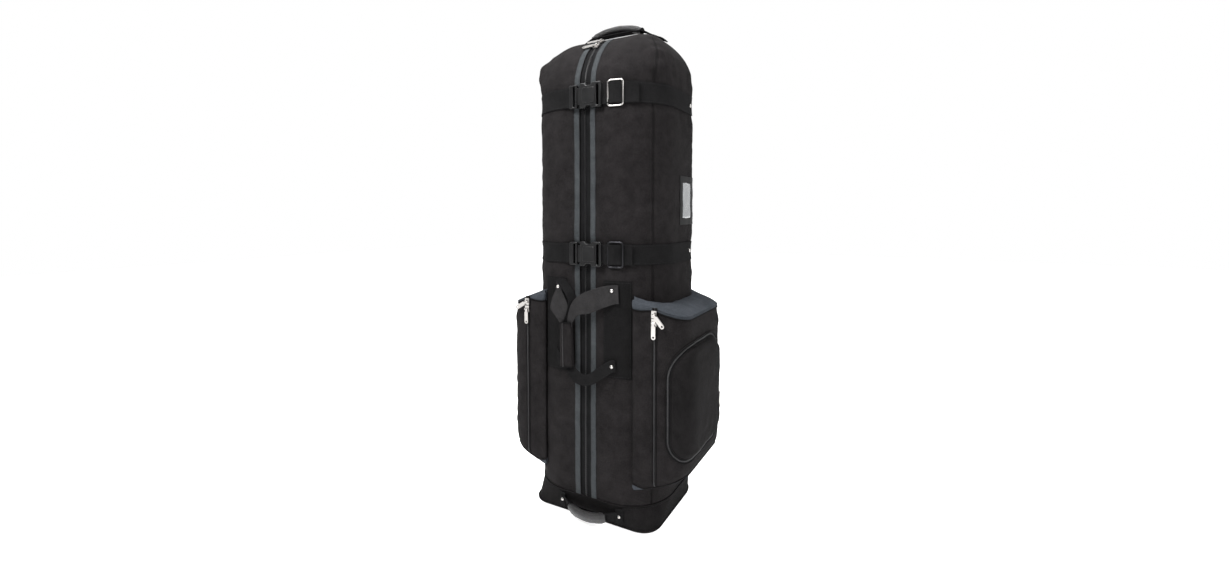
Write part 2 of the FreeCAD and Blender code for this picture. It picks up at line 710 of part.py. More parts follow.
def make_pull(label, place, lean):
    """Pull tab hanging from the slider's pin, with an eye, a neck and a round hole at its end."""
    lift = size("pin_lift")
    thickness = size("pull_thickness")
    half_eye = size("lug_gap") / 2 - 0.25
    half_width = size("pull_width") / 2
    end = -size("pull_length")
    back, front = -lift + thickness / 2, -lift - thickness / 2
    eye = Part.makeCylinder(size("pull_eye_radius"), 2 * half_eye, Vector(-half_eye, -lift, 0), X_AXIS)
    neck = box((-half_eye, front, -size("pull_neck")), (half_eye, back, 0))
    blade = box((-half_width, front, end + half_width), (half_width, back, -size("pull_neck")))
    tip = Part.makeCylinder(half_width, thickness, Vector(0, front, end + half_width), Y_AXIS)
    bore = Part.makeCylinder(size("pull_bore_radius"), 20, Vector(-10, -lift, 0), X_AXIS)
    hole = Part.makeCylinder(size("pull_hole_radius"), 10, Vector(0, front - 4, end + half_width), Y_AXIS)
    tab = eye.fuse([neck, blade, tip]).removeSplitter().cut([bore, hole])
    shaped(label, tab, place.multiply(Placement(Vector(0, 0, 0), Rotation(Y_AXIS, lean))))


def slider_places():
    """Every slider's name, place and the lean of its pull."""
    radius = size("case_depth") / 2 + 0.8
    spring = arch_centre_level()
    places = []
    for name in ("front", "rear"):
        turn = Rotation(X_AXIS, -size(f"{name}_slider_angle"))
        centre = Vector(0, 0, spring) + turn.multVec(Vector(0, -radius, 0))
        places.append((f"main_{name}", Placement(centre, turn), size("main_pull_lean")))
    front = -size("pocket_front") - size("pocket_zip_thickness")
    for side, name in ((-1, "left"), (1, "right")):
        x = side * size("pocket_zip_offset")
        for height in ("upper", "lower"):
            level = size(f"{height}_slider_level")
            lean = 0
            if height == "upper":
                lean = -size("side_pull_lean") if side > 0 else size("side_pull_lean") * 1.5
            places.append((f"{name}_{height}", Placement(Vector(x, front, level), Rotation()), lean))
    spot = Vector(size("pocket_reach") + size("small_zip_thickness"),
                  size("small_back") + size("small_slider_offset"), size("small_slider_level"))
    places.append(("small_pocket", Placement(spot, Rotation(Z_AXIS, 90)), 0))
    return places


def make_sliders():
    """All sliders and their pulls."""
    for name, place, lean in slider_places():
        make_slider(f"{name}_slider", place, lean)
        make_pull(f"{name}_pull", place, lean)


# ---------------------------------------------------------------- wheels


def make_wheels():
    """In-line wheels in moulded housings, on steel axles."""
    depth = size("wheel_set_back")
    level = size("wheel_radius") + size("wheel_floor_gap")
    half_housing = size("housing_width") / 2
    wall = size("housing_wall")
    housings = []
    axles = []
    for side, name in ((-1, "left"), (1, "right")):
        centre = side * size("wheel_spacing") / 2
        axle = Part.makeCylinder(size("axle_radius"), size("housing_width"),
                                 Vector(centre - half_housing, depth, level), X_AXIS)
        cavity = box((centre - half_housing + wall, size("housing_front") + wall, -FAR),
                     (centre + half_housing - wall, FAR, size("housing_height") - wall))
        outer = wheel_wells().Solids[0 if side < 0 else 1]
        housings.append(outer.cut([cavity, axle]))
        axles.append(axle)

        half_width = size("wheel_width") / 2
        bore = size("axle_radius") + size("axle_clearance")
        hub = Part.makeCylinder(size("hub_radius"), 2 * half_width,
                                Vector(centre - half_width, depth, level), X_AXIS)
        hole = Part.makeCylinder(bore, 4 * half_width,
                                 Vector(centre - 2 * half_width, depth, level), X_AXIS)
        disc = Part.makeCylinder(size("wheel_radius"), 2 * half_width,
                                 Vector(centre - half_width, depth, level), X_AXIS)
        rims = [edge for edge in disc.Edges if edge.BoundBox.XLength < 0.01]
        shaped(f"{name}_wheel_tyre", disc.makeFillet(size("tyre_edge"), rims).cut(hub))
        shaped(f"{name}_wheel_hub", hub.cut(hole))
    shaped("wheel_housings", as_group(housings))
    shaped("wheel_axles", as_group(axles))


# ---------------------------------------------------------------- document


def check_document():
    """Stop before writing if any object failed or any shape is empty or invalid."""
    for item in doc.Objects:
        if "Invalid" in item.State or "Error" in item.State:
            raise RuntimeError(f"{item.Label}: {item.State}")
    for piece in NODES:
        if piece.Shape.isNull() or not piece.Shape.isValid() or not piece.Shape.Solids:
            raise RuntimeError(f"{piece.Label}: no valid solid")


def write_parts():
    """Write one STEP file for each sub-part."""
    os.makedirs("parts", exist_ok=True)
    for piece in NODES:
        solids = piece.Shape.Solids
        whole = solids[0] if len(solids) == 1 else Part.makeCompound(solids)
        whole.exportStep(f"parts/{piece.Label}.step")
        print(f"{piece.Label}: {len(solids)} solid(s), {piece.Shape.Volume / 1000:.1f} cm3")


def main():
    fill_sheet()
    make_shell_panels()
    make_base()
    make_crown_padding()
    make_main_zipper()
    make_straps()
    make_buckles()
    make_handles()
    make_carry_handles()
    make_card_holder()
    make_side_pockets()
    make_small_pocket()
    make_sliders()
    make_wheels()
    doc.recompute()
    check_document()
    write_parts()
    print(f"{len(NODES)} nodes")


main()
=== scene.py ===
"""Looks of the golf travel case: fabric, webbing, zippers, buckles and metal around the CAD frame.

Lengths in this script are millimetres in the frame of the CAD model; meshes are written in metres.
The case's skin is mapped by two coordinates: `around`, the distance along the case's outline from
the middle of the front (right positive), and `up`, the height, which runs on over the crown's arch.
"""
import math

import bpy
from mathutils import Matrix, Vector, noise


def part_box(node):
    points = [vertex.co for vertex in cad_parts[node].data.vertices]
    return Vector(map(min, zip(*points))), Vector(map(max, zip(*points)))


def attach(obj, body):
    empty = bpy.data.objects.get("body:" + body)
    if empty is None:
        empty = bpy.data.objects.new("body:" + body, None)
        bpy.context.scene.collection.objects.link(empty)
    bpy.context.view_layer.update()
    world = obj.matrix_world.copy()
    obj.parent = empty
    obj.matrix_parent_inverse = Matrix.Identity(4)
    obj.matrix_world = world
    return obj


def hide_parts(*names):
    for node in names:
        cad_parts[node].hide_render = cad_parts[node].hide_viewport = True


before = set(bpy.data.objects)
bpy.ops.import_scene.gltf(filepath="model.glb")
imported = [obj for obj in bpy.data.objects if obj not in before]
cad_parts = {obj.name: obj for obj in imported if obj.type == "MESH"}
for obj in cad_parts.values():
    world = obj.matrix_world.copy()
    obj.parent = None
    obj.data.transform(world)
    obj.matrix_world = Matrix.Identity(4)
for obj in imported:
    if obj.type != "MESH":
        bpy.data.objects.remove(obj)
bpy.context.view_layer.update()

MM = 0.001


def box_mm(node):
    """Lowest and highest corner of a CAD node, in millimetres."""
    low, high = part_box(node)
    return low / MM, high / MM


# ---- driving sizes

HALF_WIDTH = box_mm("right_side_panel")[1].x
HALF_DEPTH = box_mm("back_panel")[1].y
CROWN = box_mm("back_panel")[1].z
SEAM_LEVEL = box_mm("base_boot")[1].z
FLOOR_GAP = box_mm("base_boot")[0].z
CORNER = 120.0
SHOULDER = 110.0
SPRING = CROWN - HALF_DEPTH
BASE_HALF_WIDTH = 183.0
BASE_HALF_DEPTH = 161.0
BASE_CORNER = 45.0
BASE_REAR_CORNER = 95.0
GAP_HALF = box_mm("zipper_tapes")[1].x
TRIM_EDGE = box_mm("zipper_trims")[1].x
FLAT = HALF_WIDTH - CORNER
SIDE_HALF = HALF_DEPTH - CORNER
QUARTER = CORNER * math.pi / 2
SIDE_START = FLAT + QUARTER
SIDE_END = SIDE_START + 2 * SIDE_HALF
BACK_START = SIDE_END + QUARTER
HALF_GIRTH = BACK_START + FLAT
FRONT_SEAM = FLAT + CORNER * math.radians(52)
BACK_SEAM = BACK_START - CORNER * math.radians(40)
ARCH_QUARTER = HALF_DEPTH * math.pi / 2
CROWN_EDGE = SPRING + HALF_DEPTH * math.radians(64)
TOP = SPRING + ARCH_QUARTER
STRAP_HALF = 25.0
SHELL_THICKNESS = 2.5
FORWARD = Vector((0, -1, 0))
STRAP_LEVELS = {
    "upper": sum(v.z for v in box_mm("upper_adjuster_ring")) / 2,
    "middle": sum(v.z for v in box_mm("middle_adjuster_ring")) / 2,
}


# ---- small tools


def smooth(value, start, end):
    """0 before start, 1 after end, and a soft step between."""
    t = min(1.0, max(0.0, (value - start) / (end - start)))
    return t * t * (3 - 2 * t)


def hump(value, centre, spread):
    """A bell of height 1."""
    return math.exp(-((value - centre) / spread) ** 2)


def steps(start, end, pitch):
    """Evenly spaced values from start to end, about a pitch apart."""
    count = max(1, round(abs(end - start) / pitch))
    return [start + (end - start) * index / count for index in range(count + 1)]


def lerp(a, b, t):
    return a + (b - a) * t


def add_object(name, data):
    """A new object in the scene around a mesh, curve, light or camera."""
    piece = bpy.data.objects.new(name, data)
    bpy.context.scene.collection.objects.link(piece)
    return piece


def new_object(name, verts, faces, material, uvs=None, shade=True):
    """A mesh object from points in millimetres, with an optional UV in millimetres for each point."""
    mesh = bpy.data.meshes.new(name)
    mesh.from_pydata([Vector(v) * MM for v in verts], [], faces)
    if uvs is not None:
        layer = mesh.uv_layers.new(name="cloth")
        for loop in mesh.loops:
            u, v = uvs[loop.vertex_index]
            layer.data[loop.index].uv = (u * MM, v * MM)
    mesh.materials.append(material)
    if shade:
        mesh.polygons.foreach_set("use_smooth", [True] * len(mesh.polygons))
    mesh.update()
    return add_object(name, mesh)


def grid(name, rows, material, uvs, closed=False):
    """A mesh from rows of points."""
    width = len(rows[0])
    verts = [point for row in rows for point in row]
    flat_uvs = [uv for row in uvs for uv in row]
    faces = []
    for i in range(len(rows) - 1):
        for j in range(width if closed else width - 1):
            k = (j + 1) % width
            faces.append((i * width + j, i * width + k, (i + 1) * width + k, (i + 1) * width + j))
    return new_object(name, verts, faces, material, flat_uvs)


def thicken(piece, thickness, offset=-1.0):
    """Give a sheet its real thickness."""
    modifier = piece.modifiers.new("thickness", "SOLIDIFY")
    modifier.thickness = thickness * MM
    modifier.offset = offset
    modifier.use_even_offset = False
    return piece


def sheet(name, columns, levels, point, material, thickness, offset=-1.0, closed=False, uv=None):
    """Cloth through point(column, level) for every column and level."""
    rows = [[point(column, level) for column in columns] for level in levels]
    uvs = [[uv(column, level) if uv else (column, level) for column in columns] for level in levels]
    return thicken(grid(name, rows, material, uvs, closed), thickness, offset)


def soften(piece, width=0.4, segments=2):
    """Round a hard edge a little."""
    modifier = piece.modifiers.new("edge", "BEVEL")
    modifier.width = width * MM
    modifier.segments = segments
    modifier.limit_method = "ANGLE"
    modifier.angle_limit = math.radians(40)
    return piece


def finish_piece(piece, slot, *nodes, body="case"):
    """Ride on a body and stand for CAD nodes; the slot is not used."""
    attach(piece, body)
    if nodes:
        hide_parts(*nodes)
    return piece


def when(test, *nodes):
    """The CAD nodes a piece stands for, if it is the one of its set that stands for them."""
    return nodes if test else ()


def box_loop(left, right, low, high):
    """Corners of a rectangle, back to the first."""
    return [(left, low), (right, low), (right, high), (left, high), (left, low)]


def squircle(c, s, power):
    """Radius of a rounded square in the direction of a cosine and sine."""
    return (abs(c) ** power + abs(s) ** power) ** (-1 / power)


# ---- the case's skin


def outline_sizes(up, rear=False):
    """Half width, half depth, corner radius and true height of the outline at one level."""
    if up < SEAM_LEVEL:
        t = max(0.0, (up - FLOOR_GAP) / (SEAM_LEVEL - FLOOR_GAP))
        return (lerp(BASE_HALF_WIDTH, HALF_WIDTH, t), lerp(BASE_HALF_DEPTH, HALF_DEPTH, t),
                lerp(BASE_REAR_CORNER if rear else BASE_CORNER, CORNER, t ** 0.8), up)
    if up <= SPRING:
        return HALF_WIDTH, HALF_DEPTH, CORNER, up
    climb = min((up - SPRING) / HALF_DEPTH, math.pi / 2)
    level = SPRING + HALF_DEPTH * math.sin(climb)
    above = max(0.0, level - (CROWN - SHOULDER))
    reach = math.sqrt(max(0.0, SHOULDER ** 2 - above ** 2))
    narrowing = math.cos(climb)
    return HALF_WIDTH - SHOULDER + reach, HALF_DEPTH * narrowing, CORNER * narrowing, level


def bare_skin(around, up):
    """Point of the skin before the fabric's own relief."""
    run = abs(around)
    half_x, half_y, radius, level = outline_sizes(up, run > (SIDE_START + SIDE_END) / 2)
    side = -1.0 if around < 0 else 1.0
    flat_x = half_x - radius
    flat_y = half_y - radius
    if run <= TRIM_EDGE:
        x, y = run, -half_y
    elif run <= FLAT:
        x, y = lerp(TRIM_EDGE, flat_x, (run - TRIM_EDGE) / (FLAT - TRIM_EDGE)), -half_y
    elif run <= SIDE_START:
        angle = (run - FLAT) / CORNER
        x, y = flat_x + radius * math.sin(angle), -flat_y - radius * math.cos(angle)
    elif run <= SIDE_END:
        x, y = half_x, lerp(-SIDE_HALF, SIDE_HALF, (run - SIDE_START) / (SIDE_END - SIDE_START))
        y *= flat_y / SIDE_HALF if up > SPRING else 1.0
        if up < SEAM_LEVEL:
            y *= lerp(1.0, flat_y / SIDE_HALF, abs(y) / SIDE_HALF)
    elif run <= BACK_START:
        angle = (run - SIDE_END) / CORNER
        x, y = flat_x + radius * math.cos(angle), flat_y + radius * math.sin(angle)
    else:
        x, y = flat_x * max(0.0, 1 - (run - BACK_START) / FLAT), half_y
    return Vector((side * x, y, level))


def relief(around, up):
    """How far the fabric stands out from the bare skin: bulges, folds and strap pinches."""
    point = bare_skin(around, up)
    wide = noise.noise(point / 150.0 + Vector((3.1, 0, 7.7)))
    folds = noise.noise(Vector((point.x / 70, point.y / 70, point.z / 34)) + Vector((9, 2, 1)))
    creases = noise.noise(Vector((point.x / 26, point.y / 26, point.z / 15)) + Vector((4, 8, 5)))
    near_strap = max(hump(up, level, 34) for level in STRAP_LEVELS.values())
    beside_strap = max(hump(abs(up - level), 48, 26) for level in STRAP_LEVELS.values())
    bulge = 4.0 + 2.6 * wide + 2.8 * folds * (0.5 + beside_strap) + 1.2 * creases
    bulge += 2.4 * beside_strap * abs(math.sin(around / 27 + 1.3 * math.sin(around / 57)))
    zip_pull = 1 - 0.62 * hump(around, 0, 42)
    handle_zone = 1 - 0.65 * hump(up, 506, 130) * (1 - smooth(abs(around), 130, 170))
    crown = 1 - smooth(up, SPRING + 60, SPRING + 150)
    boot = smooth(up, SEAM_LEVEL - 2, SEAM_LEVEL + 55)
    strap = 1 - near_strap
    peak = 13.0 if around < 0 else 7.0
    shoulder = peak * hump(abs(around), FRONT_SEAM, 26) * hump(up, SPRING + 84, 40)
    gathers = 1.6 * math.sin(up / 6.5) * hump(abs(around), FRONT_SEAM, 26) * smooth(up, 1120, 1180)
    seam = -2.0 * hump(abs(around), FRONT_SEAM, 7) * smooth(up, SEAM_LEVEL, 90)
    top_fade = 1 - smooth(up, SPRING + 200, TOP - 5)
    droop = -3.0 * smooth(around, 60, 200) * hump(up, SPRING + 150, 62) * (1 - smooth(around, 520, 600))
    body = bulge * zip_pull * handle_zone * strap * boot * (0.25 + 0.75 * crown)
    return body + droop + (shoulder + gathers + seam) * top_fade * strap


def skin(around, up, lift=0.0, rough=1.0):
    """Point on the fabric, lifted off it by a distance."""
    small = 0.6
    tangent = bare_skin(around + small, up) - bare_skin(around - small, up)
    rise = bare_skin(around, min(up + small, TOP - 0.2)) - bare_skin(around, up - small)
    normal = tangent.cross(rise)
    if normal.length < 1e-6:
        normal = Vector((0, 0, 1))
    normal.normalize()
    return bare_skin(around, up) + normal * (relief(around, up) * rough + lift)


def skin_patch(name, arounds, ups, lift, material, thickness):
    """A piece of cloth that lies on the case."""
    return sheet(name, arounds, ups, lambda a, u: skin(a, u, lift), material, thickness)


def piping(name, points, radius, material, body="case", slot="shell_fabric"):
    """A thin cord sewn along a seam."""
    curve = bpy.data.curves.new(name, "CURVE")
    curve.dimensions = "3D"
    curve.bevel_depth = radius * MM
    curve.bevel_resolution = 2
    spline = curve.splines.new("POLY")
    spline.points.add(len(points) - 1)
    for target, point in zip(spline.points, points):
        target.co = (*(Vector(point) * MM), 1.0)
    curve.materials.append(material)
    return finish_piece(add_object(name, curve), slot, body=body)


def stitches(name, tracks, material, body="case", slot="webbing", pitch=4.0, width=0.9):
    """Raised thread, one short dash at a time, along tracks of (point, normal) pairs."""
    verts = []
    faces = []
    for track in tracks:
        carry = 0.0
        for (a, normal), (b, _) in zip(track, track[1:]):
            length = (b - a).length
            if length < 1e-6:
                continue
            along = (b - a) / length
            across = along.cross(normal).normalized() * width / 2
            at = carry
            while at + pitch * 0.62 <= length:
                start = a + along * at
                end = start + along * pitch * 0.62
                middle = (start + end) / 2 + normal * width * 0.55
                base = len(verts)
                verts += [start - across * 0.5, start + across * 0.5, middle + across,
                          end + across * 0.5, end - across * 0.5, middle - across]
                faces += [(base, base + 1, base + 2, base + 5), (base + 5, base + 2, base + 3, base + 4)]
                at += pitch
            carry = max(0.0, at - length)
    piece = new_object(name, verts, faces, material, [(v.x, v.z) for v in verts])
    return finish_piece(piece, slot, body=body)


def skin_track(points, lift):
    """Points and normals on the case for a row of stitches."""
    track = []
    for around, up in points:
        low = skin(around, up, lift)
        track.append((low, (skin(around, up, lift + 1) - low).normalized()))
    return track


# ---- materials


def node_material(name):
    """An empty material with its shader and node helpers."""
    material = bpy.data.materials.new(name)
    material.use_nodes = True
    tree = material.node_tree
    shader = tree.nodes["Principled BSDF"]
    return material, tree, shader


def link_math(tree, operation, first, second=None, third=None):
    """A Math node fed by sockets or numbers."""
    node = tree.nodes.new("ShaderNodeMath")
    node.operation = operation
    for index, value in enumerate((first, second, third)):
        if value is None:
            continue
        if isinstance(value, (int, float)):
            node.inputs[index].default_value = value
        else:
            tree.links.new(value, node.inputs[index])
    return node.outputs[0]


def noise_node(tree, vector, scale, detail=4.0, roughness=0.55):
    """Fractal noise over a coordinate."""
    node = tree.nodes.new("ShaderNodeTexNoise")
    node.inputs["Scale"].default_value = scale
    node.inputs["Detail"].default_value = detail
    node.inputs["Roughness"].default_value = roughness
    tree.links.new(vector, node.inputs["Vector"])
    return node.outputs["Fac"]


def colour_ramp(tree, factor, stops):
    """A colour ramp from positions and colours."""
    node = tree.nodes.new("ShaderNodeValToRGB")
    ramp = node.color_ramp
    for index, (place, colour) in enumerate(stops):
        element = ramp.elements[index] if index < 2 else ramp.elements.new(place)
        element.position = place
        element.color = (*colour, 1)
    tree.links.new(factor, node.inputs["Fac"])
    return node.outputs["Color"]


def bump(tree, shader, height, strength, distance):
    """Bump from a height."""
    node = tree.nodes.new("ShaderNodeBump")
    node.inputs["Strength"].default_value = strength
    node.inputs["Distance"].default_value = distance
    tree.links.new(height, node.inputs["Height"])
    tree.links.new(node.outputs["Normal"], shader.inputs["Normal"])


def coordinate(tree, kind):
    """Cloth UV or object coordinates."""
    node = tree.nodes.new("ShaderNodeTexCoord")
    return node.outputs[kind]


def fabric(name, dark, light, pitch=1.3, ribs=False, strength=0.5, roughness=0.9, gloss=0.05):
    """Woven cloth: threads at a real pitch, mottled dye and faint rubbed patches."""
    material, tree, shader = node_material(name)
    uv = coordinate(tree, "UV")
    place = coordinate(tree, "Object")
    split = tree.nodes.new("ShaderNodeSeparateXYZ")
    tree.links.new(uv, split.inputs[0])
    turns = 2 * math.pi / (pitch * MM)

    def calc(operation, *values):
        return link_math(tree, operation, *values)

    across = calc("SINE", calc("MULTIPLY", split.outputs[0], turns))
    along = calc("SINE", calc("MULTIPLY", split.outputs[1], turns))
    if ribs:
        weave = calc("ADD", calc("MULTIPLY", across, 0.35), calc("ABSOLUTE", along))
    else:
        weave = calc("MULTIPLY", across, along)
    mottle = noise_node(tree, place, 38.0, 6.0, 0.6)
    speck = noise_node(tree, place, 420.0, 2.0, 0.7)
    rub = noise_node(tree, place, 7.0, 3.0)
    blend = calc("ADD", calc("MULTIPLY", mottle, 0.5), calc("MULTIPLY", speck, 0.55))
    blend = calc("ADD", blend, calc("MULTIPLY", weave, 0.09))
    blend = calc("ADD", blend, calc("MULTIPLY", rub, 0.22))
    colour = colour_ramp(tree, blend, ((0.42, dark), (0.92, light)))
    tree.links.new(colour, shader.inputs["Base Color"])
    rough = calc("MULTIPLY_ADD", mottle, 0.12, roughness - 0.06)
    tree.links.new(rough, shader.inputs["Roughness"])
    shader.inputs["Specular IOR Level"].default_value = gloss
    height = calc("ADD", calc("MULTIPLY", weave, 0.5),
                  calc("MULTIPLY", noise_node(tree, place, 210.0, 3.0), 0.9))
    bump(tree, shader, height, strength, 0.0006)
    return material


def hard(name, colour, roughness, metallic=0.0, grain=320.0, strength=0.12, specular=0.5, wear=None):
    """Moulded plastic, rubber or plated metal with grain, handling marks and worn edges."""
    material, tree, shader = node_material(name)
    place = coordinate(tree, "Object")
    marks = noise_node(tree, place, 24.0, 6.0, 0.65)
    fine = noise_node(tree, place, grain, 3.0)
    lighter = wear or tuple(min(1.0, c * 1.5 + 0.004) for c in colour)
    tree.links.new(colour_ramp(tree, marks, ((0.35, colour), (0.8, lighter))),
                   shader.inputs["Base Color"])
    tree.links.new(link_math(tree, "MULTIPLY_ADD", marks, 0.22, roughness - 0.1),
                   shader.inputs["Roughness"])
    shader.inputs["Metallic"].default_value = metallic
    shader.inputs["Specular IOR Level"].default_value = specular
    bump(tree, shader, fine, strength, 0.0004)
    return material


def clear_film():
    """Clear vinyl over the paper card, with the card's pale grey showing through."""
    material, tree, shader = node_material("clear_vinyl")
    place = coordinate(tree, "Object")
    haze = noise_node(tree, place, 12.0, 3.0)
    tree.links.new(colour_ramp(tree, haze, ((0.3, (0.10, 0.105, 0.11)), (0.8, (0.17, 0.175, 0.18)))),
                   shader.inputs["Base Color"])
    shader.inputs["Roughness"].default_value = 0.22
    shader.inputs["Coat Weight"].default_value = 0.6
    shader.inputs["Coat Roughness"].default_value = 0.08
    bump(tree, shader, noise_node(tree, place, 30.0, 2.0), 0.25, 0.002)
    return material


SHELL = fabric("shell_polyester", (0.0034, 0.0030, 0.0031), (0.0165, 0.0150, 0.0154))
LINING = fabric("boot_polyester", (0.0026, 0.0024, 0.0025), (0.0110, 0.0102, 0.0104))
GREY = fabric("grey_polyester", (0.017, 0.0195, 0.023), (0.048, 0.053, 0.061))
TRIM = fabric("grey_trim", (0.015, 0.0165, 0.0178), (0.043, 0.047, 0.050), ribs=True, pitch=1.6)
WEBBING = fabric("black_webbing", (0.0026, 0.0026, 0.0027), (0.0085, 0.0083, 0.0086), ribs=True,
                 pitch=2.6, strength=0.8)
# A lighter copy of the black webbing for the carry loop faces that turn toward the lamps: its extra
# brightness is painted light, not wear.
WEBBING_PAINTED_LIT = fabric("webbing_painted_light", (0.0085, 0.0082, 0.0085), (0.025, 0.024, 0.0245), ribs=True,
                      pitch=2.6, strength=0.8)
TAPE = fabric("zipper_tape", (0.003, 0.003, 0.0032), (0.009, 0.009, 0.0095), pitch=0.9)
GRIP = fabric("grip_cover", (0.0045, 0.0043, 0.0045), (0.014, 0.0135, 0.014), pitch=0.9, roughness=0.4,
              gloss=0.3)
THREAD = fabric("thread", (0.008, 0.008, 0.008), (0.03, 0.03, 0.031), pitch=0.6)
COIL = hard("coil_nylon", (0.0065, 0.0065, 0.007), 0.42, specular=0.3)
PLASTIC = hard("buckle_acetal", (0.0030, 0.0030, 0.0032), 0.34, grain=500.0, specular=0.2)
MOULDED = hard("moulded_polypropylene", (0.012, 0.012, 0.013), 0.55, grain=420.0, strength=0.3)
NICKEL = hard("nickel", (0.40, 0.385, 0.37), 0.30, 1.0, grain=90.0, strength=0.05,
              wear=(0.56, 0.54, 0.52))
DARK_METAL = hard("dark_nickel", (0.022, 0.022, 0.024), 0.35, 1.0, strength=0.05)
VINYL = hard("matt_vinyl", (0.0035, 0.0035, 0.0037), 0.62, grain=260.0, strength=0.3, specular=0.12)
PATCH = fabric("patch_polyester", (0.0022, 0.0021, 0.0022), (0.0080, 0.0078, 0.0080), pitch=1.1)
RUBBER = hard("wheel_polyurethane", (0.022, 0.022, 0.024), 0.62, grain=200.0, strength=0.25)
FOAM = fabric("foam", (0.09, 0.09, 0.095), (0.17, 0.17, 0.18), pitch=2.5, roughness=0.95)
FILM = clear_film()

CARRIED = {
    "crown_padding": FOAM, "base_tray": MOULDED, "skid_rails": MOULDED, "wheel_housings": MOULDED,
    "wheel_axles": NICKEL, "left_wheel_hub": MOULDED, "right_wheel_hub": MOULDED,
    "left_wheel_tyre": RUBBER, "right_wheel_tyre": RUBBER,
}


def paint_carried_nodes():
    """Better materials and softened edges for the CAD parts that stay."""
    for name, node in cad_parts.items():
        if name.endswith("_slider") or name.endswith("_pull"):
            material = NICKEL
        elif name in CARRIED:
            material = CARRIED[name]
        else:
            continue
        node.data.materials.clear()
        node.data.materials.append(material)
        if name != "crown_padding":
            soften(node, 0.35 if material == NICKEL else 0.8)


# ---- shell

# One tooth of the coil: distance across the chain and height above the tape.
TOOTH_PROFILE = ((-0.7, 0.0), (-0.2, 1.5), (1.7, 1.7), (2.9, 0.9), (3.0, 0.0))
TOOTH_PITCH = 2.4


def mirrored_sides():
    """The case's two sides, with the sign of their X."""
    return (("right", 1), ("left", -1))


def ordered(values, side):
    """Columns for one side, kept running left to right so that faces look outward."""
    return values if side > 0 else [-value for value in reversed(values)]


def make_shell():
    """Five fabric panels with their seams, and the boot below."""
    straight = steps(SEAM_LEVEL, SPRING, 7.5)
    walls = straight + steps(SPRING, CROWN_EDGE, 6)[1:]
    cap = steps(CROWN_EDGE, TOP, 6)
    front_columns = steps(GAP_HALF, TRIM_EDGE, 5) + steps(TRIM_EDGE, FRONT_SEAM, 5)[1:]
    side_columns = steps(FRONT_SEAM, BACK_SEAM, 6)
    for name, side in mirrored_sides():
        for label, columns in ((f"front_{name}", front_columns), (f"{name}_side", side_columns)):
            piece = skin_patch(f"{label}_cloth", ordered(columns, side), walls, 0.0, SHELL, SHELL_THICKNESS)
            finish_piece(piece, "shell_fabric", f"{label}_panel")
        for seam, label in ((FRONT_SEAM, "front"), (BACK_SEAM, "back")):
            path = [skin(side * seam, up, 0.4) for up in walls]
            piping(f"{name}_{label}_seam", path, 1.5, LINING)
    half = steps(BACK_SEAM, HALF_GIRTH, 7)
    back_columns = half + [2 * HALF_GIRTH - value for value in reversed(half[:-1])]

    def back_point(run, up):
        return skin(run if run <= HALF_GIRTH else run - 2 * HALF_GIRTH, up)

    back = sheet("back_cloth", back_columns, walls, back_point, SHELL, SHELL_THICKNESS)
    finish_piece(back, "shell_fabric", "back_panel")

    ring = steps(0, HALF_GIRTH, 7)
    ring_columns = ring + [-value for value in reversed(ring[1:-1])]
    crown = sheet("crown_cloth", ring_columns, cap, skin, SHELL, SHELL_THICKNESS, closed=True)
    weld = crown.modifiers.new("weld", "WELD")
    weld.merge_threshold = 0.4 * MM
    finish_piece(crown, "shell_fabric")

    boot = sheet("boot_cloth", ring_columns, steps(FLOOR_GAP, SEAM_LEVEL, 4), skin, LINING, 3, closed=True)
    finish_piece(boot, "shell_fabric", "base_boot")
    closed = ring_columns + [ring_columns[0]]
    piping("boot_seam", [skin(run, SEAM_LEVEL, 0.6) for run in closed], 2.2, LINING)
    piping("base_binding", [skin(run, FLOOR_GAP + 2.2, 0.2) for run in closed], 2.2, LINING)
    tracks = [skin_track([(run, SEAM_LEVEL + shift) for run in closed], 0.1) for shift in (-5, 6)]
    stitches("boot_stitches", tracks, THREAD, slot="shell_fabric")


def make_main_zipper():
    """Tapes, coil teeth and ribbed trims from the boot to the crown."""
    ups = steps(SEAM_LEVEL - 2, CROWN_EDGE - 2, 6)
    tapes = skin_patch("zipper_tape_cloth", steps(-GAP_HALF - 0.5, GAP_HALF + 0.5, 4), ups, -1.2, TAPE, 1.0)
    finish_piece(tapes, "zipper", "zipper_tapes")
    tracks = []
    for name, side in mirrored_sides():
        columns = ordered(steps(GAP_HALF, TRIM_EDGE, 3), side)
        trim = skin_patch(f"{name}_trim", columns, ups, 1.5, TRIM, 1.6)
        finish_piece(soften(trim, 0.5), "grey_fabric", *when(side > 0, "zipper_trims"))
        for run in (GAP_HALF + 2.2, TRIM_EDGE - 2.2):
            tracks.append(skin_track([(side * run, up) for up in ups], 1.5))
        lip = [skin(side * (GAP_HALF - 0.6), up, 0.7) for up in ups]
        piping(f"{name}_zipper_lip", lip, 1.1, LINING, slot="zipper")
    stitches("trim_stitches", tracks, THREAD, slot="grey_fabric", pitch=3.6, width=0.7)

    verts = []
    faces = []
    across = Vector((1, 0, 0))
    for index in range(int((CROWN_EDGE - SEAM_LEVEL) / TOOTH_PITCH)):
        up = SEAM_LEVEL + index * TOOTH_PITCH
        side = 1 if index % 2 else -1
        low = skin(0, up, -0.9)
        normal = (skin(0, up, 1) - low).normalized()
        along = (skin(0, up + 1, -0.9) - low).normalized()
        base = len(verts)
        for x, height in TOOTH_PROFILE:
            for half in (-0.85, 0.85):
                verts.append(low + across * side * x + normal * height + along * half)
        for a in range(base, base + 8, 2):
            faces.append((a, a + 2, a + 3, a + 1))
        faces += [tuple(base + k for k in (0, 2, 4, 6, 8)), tuple(base + k for k in (9, 7, 5, 3, 1))]
    teeth = new_object("zipper_teeth", verts, faces, COIL, shade=False)
    finish_piece(teeth, "zipper", "zipper_chain")


# ---- straps and buckles

